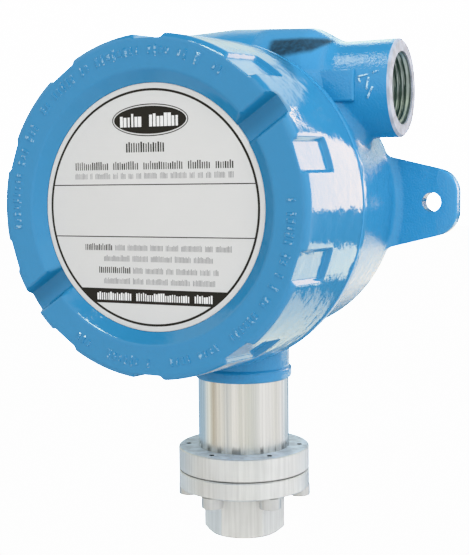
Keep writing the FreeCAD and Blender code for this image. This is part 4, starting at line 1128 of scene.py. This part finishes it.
class PSWITCH_OT_threads(bpy.types.Operator):
    """Cut the threads of the conduit hub, the port, the housing's mouth and the cover"""
    bl_idname = "pressure_switch.threads"
    bl_label = "Threads"

    def execute(self, context):
        looks = context.scene.pressure_switch
        threads, shell = looks.threads, looks.cover
        tree = thread_tree()
        along_x, along_y = (0.0, math.pi / 2, 0.0), (-math.pi / 2, 0.0, 0.0)
        pipe = (threads.pipe_pitch, threads.pipe_depth)
        cover = (threads.cover_pitch, threads.cover_depth)
        hub_start = Vector((HUB_MOUTH.x - HUB_DEPTH + 0.6 * MM, 0.0, HUB_MOUTH.z))
        mouth_start = Vector((0.0, CASE_LOW.y + 0.7 * MM, AXIS_Z))
        cover_start = Vector((0.0, shell.thread_front + threads.clearance, AXIS_Z))
        cover_run = shell.thread_rear - shell.thread_front - 2 * threads.clearance
        female, male = 1, -1
        rows = [("hub_thread", "housing", "enamel", "hub_thread", pipe, female, HUB_BORE - 2 * HAIR,
                 HUB_DEPTH - 1.2 * MM, hub_start, along_x),
                ("port_thread", "housing", "stainless", "satin_steel", pipe, female, PORT_BORE,
                 PORT_DEPTH - 1.6 * MM, Vector((0.0, 0.0, 1.0 * MM)), (0.0, 0.0, 0.0)),
                ("mouth_thread", "housing", "enamel", "bare", cover, male,
                 threads.mouth_radius - threads.cover_depth, threads.mouth_length, mouth_start, along_y),
                ("cover_thread", "cover", "enamel", "bare", cover, female,
                 threads.cover_crest + threads.cover_depth, cover_run, cover_start, along_y)]
        for name, body, slot, material, (pitch, depth), side, root, run, place, turn in rows:
            ring = grown(name, tree, {
                "Root radius": root, "Crest radius": root - side * depth,
                "Back radius": root + side * threads.backing, "Length": run, "Pitch": pitch,
                "Columns": threads.columns, "Rows": round(run / pitch * threads.turn_rows),
                "Place": place, "Turn": turn, "Material": finish(material)})
            smoothed(closed(ring.data), 35)
            placed(ring, body, slot)
        return {"FINISHED"}


def band(across, up, y, level):
    """Points round an ellipse on the plate, at a level above its middle."""
    around = evenly(160)
    return np.stack([across * np.cos(around), np.full_like(around, y), AXIS_Z + level + up * np.sin(around)],
                    axis=-1)


class PSWITCH_OT_plate(bpy.types.Operator):
    """Make the nameplate with its printed ring, rules, oval, strip and rows of fine strokes"""
    bl_idname = "pressure_switch.plate"
    bl_label = "Nameplate"

    def execute(self, context):
        sizes = context.scene.pressure_switch.print
        section = rounded([(0.0, PLATE_LOW.y), (PLATE_HIGH.x, PLATE_LOW.y, 0.25 * MM),
                           (PLATE_HIGH.x, PLATE_HIGH.y), (0.0, PLATE_HIGH.y)], 4)
        points = about_y(section[:, :1], evenly(128)[None, :], section[:, 1:])
        disc = piece_from("plate_disc", turned("plate_disc", points, 35), "plate")
        placed(disc, "cover", "plate", "nameplate")
        dark_rows = [(-9.3, 5.4, 20.4, 3.6, 0.5, (8,)), (-29.4, 30.4, 14.3, 2.8, 0.42, (8, 6, 9, 5, 4)),
                     (-26.1, -15.2, -13.0, 2.3, 0.45, (8,)), (-20.8, -8.2, -20.7, 2.3, 0.45, (8,))]
        grey_rows = [(-29.4, 30.4, 10.9, 2.1, 0.5, (5, 1, 6, 2, 2, 2, 2, 5, 3, 6, 2, 2, 2, 4, 2)),
                     (-14.2, 29.4, -13.1, 2.1, 0.55, (4, 8, 5, 5, 8, 3, 6)),
                     (-18.6, 22.6, -16.8, 2.1, 0.55, (10, 6, 8, 6, 7)),
                     (-7.4, 24.6, -20.8, 2.1, 0.55, (4, 7, 3, 8, 4, 2)),
                     (-18.8, 23.4, -24.4, 2.1, 0.55, (10, 4, 8, 7, 8))]
        pale_rows = [(-21.6, 22.4, -29.6, 2.9, 0.66, (8, 12, 4)), (-11.4, 10.8, 29.1, 4.4, 0.74, (3, 4))]
        for name, material, rows, lift, base in (
                ("plate_print", "ink", dark_rows, 1, self.fields(sizes)),
                ("plate_fine_print", "grey_ink", grey_rows, 1, None),
                ("plate_pale_print", "pale_ink", pale_rows, 2, None)):
            piece = grown(name, print_tree(name, rows), {
                "Face": PLATE_LOW.y, "Thickness": sizes.thickness * lift, "Seed": sizes.seed,
                "Material": finish(material)}, base)
            placed(piece, "cover", "plate")
        return {"FINISHED"}

    @staticmethod
    def fields(sizes):
        """Border ring, rules, oval field and dark strip as thin plates on the nameplate."""
        face, top = PLATE_LOW.y, PLATE_LOW.y - sizes.thickness
        inner_r = sizes.ring_radius - sizes.ring_width
        wide, high, line = sizes.oval_half_width, sizes.oval_half_height, sizes.rule_width
        gap = 2.5 * line
        turns = evenly(64)
        outlines = [list(zip((wide - gap) * np.cos(turns), sizes.oval_level + (high - gap) * np.sin(turns)))]
        for level in (sizes.upper_rule, sizes.lower_rule):
            reach, foot, head = math.sqrt(inner_r**2 - level**2), level - line / 2, level + line / 2
            outlines.append([(-reach, foot), (reach, foot), (reach, head), (-reach, head)])
        levels = np.linspace(sizes.banner_foot, sizes.banner_top, 7)
        reach = np.sqrt(inner_r**2 - levels**2)
        outlines.append(list(zip(reach, levels)) + list(zip(-reach[::-1], levels[::-1])))
        mesh = bpy.data.meshes.new("plate_print")
        with editing(mesh) as work:
            for width, height, thick, level in ((sizes.ring_radius, sizes.ring_radius, sizes.ring_width, 0.0),
                                                (wide, high, line, sizes.oval_level)):
                inner, outer = (width - thick, height - thick), (width, height)
                rows = [(inner, face), (inner, top), (outer, top), (outer, face), (inner, face)]
                work.from_mesh(closed(wrapped("band", np.stack([band(*half, y, level) for half, y in rows]))))
            for outline in outlines:
                ends = [[work.verts.new((x, y, AXIS_Z + z)) for x, z in outline] for y in (top, face)]
                work.faces.new(ends[0])
                work.faces.new(reversed(ends[1]))
                for one in range(len(outline)):
                    work.faces.new((ends[0][one], ends[0][one - 1], ends[1][one - 1], ends[1][one]))
            bmesh.ops.recalc_face_normals(work, faces=work.faces)
        return mesh


class PSWITCH_OT_marks(bpy.types.Operator):
    """Raise the cast marks on the cover's front ring and on the hub"""
    bl_idname = "pressure_switch.marks"
    bl_label = "Cast marks"

    def execute(self, context):
        looks = context.scene.pressure_switch
        marks, cover = looks.marks, looks.cover
        ring_arcs = [(58.0, 192.0), (238.0, 368.0)]
        rise = cover.front_inset
        ring = grown("cover_marks", ring_marks_tree(ring_arcs), {
            "Ring radius": marks.ring_radius, "Spacing": marks.spacing, "Width": marks.width,
            "Height": marks.height, "Rise": rise, "Face": COVER_LOW.y + rise, "Gaps": marks.gaps,
            "Seed": marks.seed, "Material": finish("worn")})
        placed(ring, "cover", "enamel")
        strokes = [(55.6, 175.5, 4.2, 80.0), (57.2, 172.6, 4.4, 10.0), (58.0, 169.4, 4.6, 28.0),
                   (54.2, 173.9, 1.8, -20.0), (59.9, 176.6, 2.4, 75.0)]
        hub = grown("hub_marks", hub_marks_tree(strokes), {
            "Hub radius": marks.hub_radius, "Width": marks.stroke_width, "Rise": 2 * rise,
            "Material": finish("rubbed")})
        placed(hub, "housing", "enamel")
        placed(piece_from("hub_pad", self.pad(), "enamel"), "housing", "enamel")
        return {"FINISHED"}

    @staticmethod
    def pad():
        """The flat pad that is cast on the front of the hub."""
        low, high = Vector((30.0, -19.0, 166.6)) * MM, Vector((52.4, -12.0, 178.0)) * MM
        mesh = bpy.data.meshes.new("hub_pad")
        with editing(mesh) as work:
            bmesh.ops.create_cube(work, size=1.0)
            for vertex in work.verts:
                vertex.co = Vector(a + (b - a) * (part + 0.5) for a, b, part in zip(low, high, vertex.co))
            seen = {vertex for vertex in work.verts
                    if vertex.co.y < low.y + HAIR or vertex.co.x > high.x - HAIR}
            bevelled(work, [edge for edge in work.edges if seen.issuperset(edge.verts)], 0.8 * MM, 4)
            bmesh.ops.recalc_face_normals(work, faces=work.faces)
        return smoothed(mesh, 40)


class PSWITCH_OT_spring(bpy.types.Operator):
    """Build the range spring between the piston and its seat, in two pieces split at its lower share"""
    bl_idname = "pressure_switch.spring"
    bl_label = "Range spring"

    def execute(self, context):
        spring = context.scene.pressure_switch.spring
        lower = spring.lower_share
        parting = SPRING_LOW.z + (SPRING_HIGH.z - SPRING_LOW.z) * lower
        for name, bodies, shares, low, high in (
                ("spring_foot", ("piston", "housing"), (0.0, lower), SPRING_LOW.z, parting),
                ("spring_coil", ("housing", "spring_seat"), (lower, 1.0), parting, SPRING_HIGH.z)):
            piece = piece_from(name, turned(name, self.points(spring, *shares), 50), "spring")
            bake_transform(piece)
            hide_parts("range_spring")
        return {"FINISHED"}

    @staticmethod
    def points(spring, first, last):
        """Sections of the wire along a share of the coil, drawn together at both ends."""
        half_w, half_h, edge = spring.wire_width / 2, spring.wire_height / 2, spring.wire_edge
        section = rounded([(-half_w, -half_h, edge), (half_w, -half_h, edge), (half_w, half_h, edge),
                           (-half_w, half_h, edge)], 3)
        steps = round(spring.turns * spring.columns * (last - first))
        share = np.linspace(first, last, steps + 1)[:, None]
        low, high = SPRING_LOW.z + half_h, SPRING_HIGH.z - half_h
        centre = SPRING_HIGH.x - half_w
        r, z = centre + section[:, 0], low + (high - low) * share + section[:, 1]
        coil = about_z(r, share * spring.turns * TURN, z)
        ends = [np.broadcast_to(coil[row].mean(axis=0), coil[row].shape) for row in (0, -1)]
        return np.concatenate([ends[0][None], coil, ends[1][None]])


class PSWITCH_OT_inner(bpy.types.Operator):
    """Give the carried-over solids their finishes"""
    bl_idname = "pressure_switch.inner"
    bl_label = "Inner pieces"

    def execute(self, context):
        by_slot = {"stainless": "satin_steel", "spring_steel": "spring", "seal_rubber": "rubber",
                   "zinc_steel": "zinc", "brass": "brass", "black_plastic": "black", "red_plastic": "red",
                   "lead_insulation": "sleeve", "enamel": "enamel", "plate": "plate"}
        for part in frame["record"]["subparts"]:
            node = frame["nodes"][part["node"]]
            if not node.material_slots:
                raise RuntimeError(f"{node.name} has no material slot")
            for place in node.material_slots:
                place.material = finish(by_slot[part["material_slot"]])
        return {"FINISHED"}


KEY_AZIMUTH, KEY_ELEVATION, KEY_SPREAD = 22.0, 20.0, 24.0    # degrees


def toward(azimuth, elevation, distance, centre):
    """A point seen from centre at an azimuth from the front, towards the hub's side, and an elevation."""
    a, e = math.radians(azimuth), math.radians(elevation)
    return centre + Vector((math.sin(a) * math.cos(e), -math.cos(a) * math.cos(e), math.sin(e))) * distance


def lamp_on(pieces, name, kind, place, turn):
    """A lamp that lights only some pieces."""
    lamp = bpy.data.objects.new(name, bpy.data.lights.new(name, kind))
    lamp.matrix_world = Matrix.Translation(place) @ turn.to_4x4()
    lamp.light_linking.receiver_collection = pieces
    bpy.context.scene.collection.objects.link(lamp)
    return lamp


def panel(name, place, target, width, height, radiance, tint, pieces, level=UP):
    """A lamp that only the glossy side of some pieces sees; its width lies across the level direction."""
    back = (place - target).normalized()
    across = level.cross(back).normalized()
    lamp = lamp_on(pieces, name, "AREA", place, Matrix((across, back.cross(across), back)).transposed())
    lamp.visible_camera = lamp.visible_diffuse = False
    lamp.data.shape, lamp.data.color = "RECTANGLE", tint
    lamp.data.size, lamp.data.size_y = width, height
    lamp.data.energy = radiance * math.pi * width * height


class PSWITCH_OT_stage(bpy.types.Operator):
    """Set up the camera, the pale floor and the soft light"""
    bl_idname = "pressure_switch.stage"
    bl_label = "Stage"

    def execute(self, context):
        scene = context.scene
        stage = scene.pressure_switch.stage
        scene.view_settings.view_transform = "Khronos PBR Neutral"
        self.camera(scene, stage)
        self.room(scene, stage)
        self.floor()
        self.panels(stage)
        return {"FINISHED"}

    @staticmethod
    def camera(scene, stage):
        data = bpy.data.cameras.new("camera")
        data.sensor_fit = "VERTICAL"
        data.lens = stage.focal_pixels * data.sensor_height / stage.frame_height
        data.clip_start, data.clip_end = 0.01, 20.0
        a, p = stage.camera_azimuth, stage.camera_pitch
        ahead = Vector((-math.sin(a) * math.cos(p), math.cos(a) * math.cos(p), -math.sin(p)))
        right = Matrix.Rotation(-stage.camera_roll, 3, ahead) @ Vector((math.cos(a), math.sin(a), 0.0))
        turn = Matrix((right, right.cross(ahead), -ahead)).transposed()
        camera = bpy.data.objects.new("camera", data)
        camera.matrix_world = Matrix.Translation(stage.camera_place) @ turn.to_4x4()
        scene.collection.objects.link(camera)
        scene.camera = camera

    @staticmethod
    def room(scene, stage):
        """A white room; glossy surfaces see upright bands of tone in its lower half."""
        world = bpy.data.worlds.new("white_room")
        world.use_nodes = True
        scene.world = world
        graph = Graph(world.node_tree)
        graph.tree.nodes.clear()
        camera_ray = graph.node("ShaderNodeLightPath", output="Is Camera Ray")
        glossy_ray = Field(graph, camera_ray.socket.node.outputs["Is Glossy Ray"])
        x, y, z = graph.parts(graph.node("ShaderNodeTexCoord", output="Generated"))
        azimuth = x.math("ARCTAN2", y * -1.0) / TURN + 0.5
        white, blue, dusk = (1.0, 1.0, 1.0), (0.16, 0.30, 0.42), (0.10, 0.18, 0.24)
        bands = graph.node("ShaderNodeValToRGB", {"stops": [
            (0.05, blue), (0.10, (0.36, 0.52, 0.66)), (0.24, (0.50, 0.64, 0.75)), (0.265, (0.80, 0.86, 0.87)),
            (0.305, (0.92, 0.94, 0.87)), (0.335, (0.58, 0.52, 0.42)), (0.36, (0.78, 0.74, 0.66)),
            (0.42, (0.92, 0.91, 0.86)), (0.45, (0.76, 0.78, 0.78)), (0.475, (0.97, 0.97, 0.93)),
            (0.51, (1.0, 0.98, 0.95)), (0.54, (0.82, 0.82, 0.76)), (0.566, (0.97, 0.96, 0.91)),
            (0.605, (0.78, 0.79, 0.74)), (0.65, (0.90, 0.92, 0.90)), (0.69, white), (0.76, white),
            (0.81, (0.90, 0.90, 0.87)), (0.865, white), (0.90, (0.92, 0.96, 1.0)), (0.93, blue)]},
            {0: azimuth})
        above = graph.blend(z.step(0.69, 0.80), (1.02, 1.04, 0.86), dusk)
        behind = x.step(-0.24, -0.14) * y.step(0.0, 0.3)
        seen = graph.blend(z.step(0.14 + behind * 0.28, 0.34 + behind * 0.11), bands, above)
        side = stage.fill_side
        facing = x * 0.92 - y * 0.32 + z * 0.02
        fill = graph.blend(facing.step(-0.5, 0.7), shade(white, 1.0 / side), white)
        plain = graph.node("ShaderNodeBackground", None, {"Color": fill, "Strength": stage.fill_light * side})
        banded = graph.node("ShaderNodeBackground", None, {"Color": seen, "Strength": stage.room_light})
        backdrop = graph.node("ShaderNodeBackground", None, {"Color": opaque(white),
                                                             "Strength": stage.backdrop_light})
        inner = graph.node("ShaderNodeMixShader", None, {0: glossy_ray, 1: plain, 2: banded})
        outer = graph.node("ShaderNodeMixShader", None, {0: camera_ray, 1: inner, 2: backdrop})
        graph.node("ShaderNodeOutputWorld", None, {"Surface": outer})
        world.cycles.sampling_method = "NONE"

    @staticmethod
    def floor():
        """A pale floor that glows a little for the camera, so that it runs into the backdrop."""
        half, shine = 3.0, 5.0
        mesh = bpy.data.meshes.new("floor")
        mesh.from_pydata([(-half, -half, 0), (half, -half, 0), (half, half, 0), (-half, half, 0)], [],
                         [(0, 1, 2, 3)])
        pale = Finish("pale_floor", {"Roughness": 0.9, "Base Color": (0.85, 0.85, 0.85, 1.0)})
        glow = pale.node("ShaderNodeEmission", None, {"Color": (1.0, 1.0, 1.0, 1.0), "Strength": shine})
        seen = pale.node("ShaderNodeLightPath", output="Is Camera Ray")
        shader = Field(pale, pale.shader.outputs[0])
        mixed = pale.node("ShaderNodeMixShader", None, {0: seen, 1: shader, 2: glow})
        pale.feed(pale.tree.nodes["Material Output"].inputs["Surface"], mixed)
        mesh.materials.append(pale.material)
        floor = piece_from("floor", mesh)
        floor.visible_glossy = False
        floor.visible_shadow = False

    @staticmethod
    def key(stage, pieces):
        """A soft light from beside the camera on some pieces; it leaves no reflection."""
        back = toward(KEY_AZIMUTH, KEY_ELEVATION, 1.0, Vector())
        lamp = lamp_on(pieces, "key", "SUN", Vector(), back.to_track_quat("Z", "Y").to_matrix())
        lamp.visible_glossy = False
        lamp.data.energy, lamp.data.angle = stage.key_light, math.radians(KEY_SPREAD)

    def panels(self, stage):
        """Lamps behind and above the switch that the enamel shows as pale patches."""
        cover, case = ("cover_shell", "cover_marks"), ("housing_casting", "hub_marks", "hub_pad")
        groups = {"cover": cover, "case": case, "both": cover + case, "stem": ("stem_turning",),
                  "port": ("port_turning",)}
        seen_by = {}
        for group, names in groups.items():
            seen_by[group] = bpy.data.collections.new(f"panels_on_{group}")
            for name in names:
                seen_by[group].objects.link(bpy.data.objects[name])
        self.key(stage, seen_by["case"])
        for name in ("nameplate", "plate_disc"):
            bpy.data.objects[name].visible_glossy = False
        centre = Vector((0.05, -0.04, AXIS_Z))
        bright, far, near = stage.panel_light, 1.5, 0.1
        warm, straw, pale = (1.0, 0.68, 0.40), (1.0, 0.82, 0.46), (1.0, 0.92, 0.60)
        for name, group, azimuth, elevation, width, height, share, tint in (
                ("panel_high", "both", 151.0, 9.5, 0.62, 0.62, 1.0, warm),
                ("panel_spot", "cover", 166.0, 24.0, 0.15, 0.15, 1.6, warm),
                ("panel_edge", "cover", -158.0, 8.0, 0.50, 0.30, 0.12, (1.0, 0.97, 0.90)),
                ("panel_low", "both", 155.0, -17.4, 0.54, 0.23, 0.56, straw),
                ("panel_foot", "both", 178.0, -32.6, 0.92, 0.36, 0.28, straw),
                ("panel_stem", "stem", 164.0, -11.0, 0.80, 0.40, 0.12, (1.0, 0.90, 0.80)),
                ("panel_port", "port", -103.0, -12.0, 1.2, 1.0, 0.06, (1.0, 0.96, 0.92)),
                ("panel_recess", "cover", -10.0, 45.0, 0.40, 0.36, 3.0, pale),
                ("panel_drum", "case", 176.0, 11.5, 0.24, 0.26, 0.3, straw),
                ("panel_drum_low", "case", 179.0, -15.5, 0.58, 0.40, 0.30, (1.0, 0.76, 0.47)),
                ("panel_top", "cover", -176.0, 32.0, 0.80, 0.26, 0.08, (1.0, 0.95, 0.88))):
            place = toward(azimuth, elevation, far, centre)
            panel(name, place, centre, width, height, bright * share, tint, seen_by[group])
        for name, spot, back, width, height, share, tint in (
                ("panel_hub", (52.0, -15.0, 182.0), (-0.305, -0.35, 0.885), 0.048, 0.024, 1.5, straw),
                ("panel_crown", (52.0, -6.0, 188.0), (-0.30, 0.705, 0.643), 0.036, 0.026, 0.5, pale)):
            spot = Vector(spot) * MM
            place = spot + Vector(back) * near
            panel(name, place, spot, width, height, bright * share, tint, seen_by["case"], -ACROSS)


CLASSES = (PSWITCH_PG_cover, PSWITCH_PG_marks, PSWITCH_PG_threads, PSWITCH_PG_spring, PSWITCH_PG_port,
           PSWITCH_PG_print, PSWITCH_PG_colours, PSWITCH_PG_stage, PSWITCH_PG_looks, PSWITCH_OT_inner,
           PSWITCH_OT_spring, PSWITCH_OT_cover, PSWITCH_OT_housing, PSWITCH_OT_stem, PSWITCH_OT_screws,
           PSWITCH_OT_threads, PSWITCH_OT_plate, PSWITCH_OT_marks, PSWITCH_OT_stage)


class PSWITCH_PT_sidebar(bpy.types.Panel):
    """Lists the sizes, the colours and the pieces"""
    bl_idname = "PSWITCH_PT_sidebar"
    bl_label = "Pressure switch"
    bl_space_type = "VIEW_3D"
    bl_region_type = "UI"
    bl_category = "Pressure switch"

    def draw(self, context):
        looks = context.scene.pressure_switch
        for name in looks.__annotations__:
            group = getattr(looks, name)
            box = self.layout.box()
            for size in group.__annotations__:
                box.prop(group, size)
        for kind in CLASSES:
            if issubclass(kind, bpy.types.Operator):
                self.layout.operator(kind.bl_idname)


def register():
    for kind in (*CLASSES, PSWITCH_PT_sidebar):
        bpy.utils.register_class(kind)
    bpy.types.Scene.pressure_switch = PointerProperty(type=PSWITCH_PG_looks)


def unregister():
    del bpy.types.Scene.pressure_switch
    for kind in reversed((*CLASSES, PSWITCH_PT_sidebar)):
        bpy.utils.unregister_class(kind)


def main():
    register()
    bpy.ops.pressure_switch.inner()
    bpy.ops.pressure_switch.spring()
    bpy.ops.pressure_switch.cover()
    bpy.ops.pressure_switch.housing()
    bpy.ops.pressure_switch.stem()
    bpy.ops.pressure_switch.screws()
    bpy.ops.pressure_switch.threads()
    bpy.ops.pressure_switch.plate()
    bpy.ops.pressure_switch.marks()
    bpy.ops.pressure_switch.stage()
    bpy.context.view_layer.update()


if __name__ == "__main__":
    main()
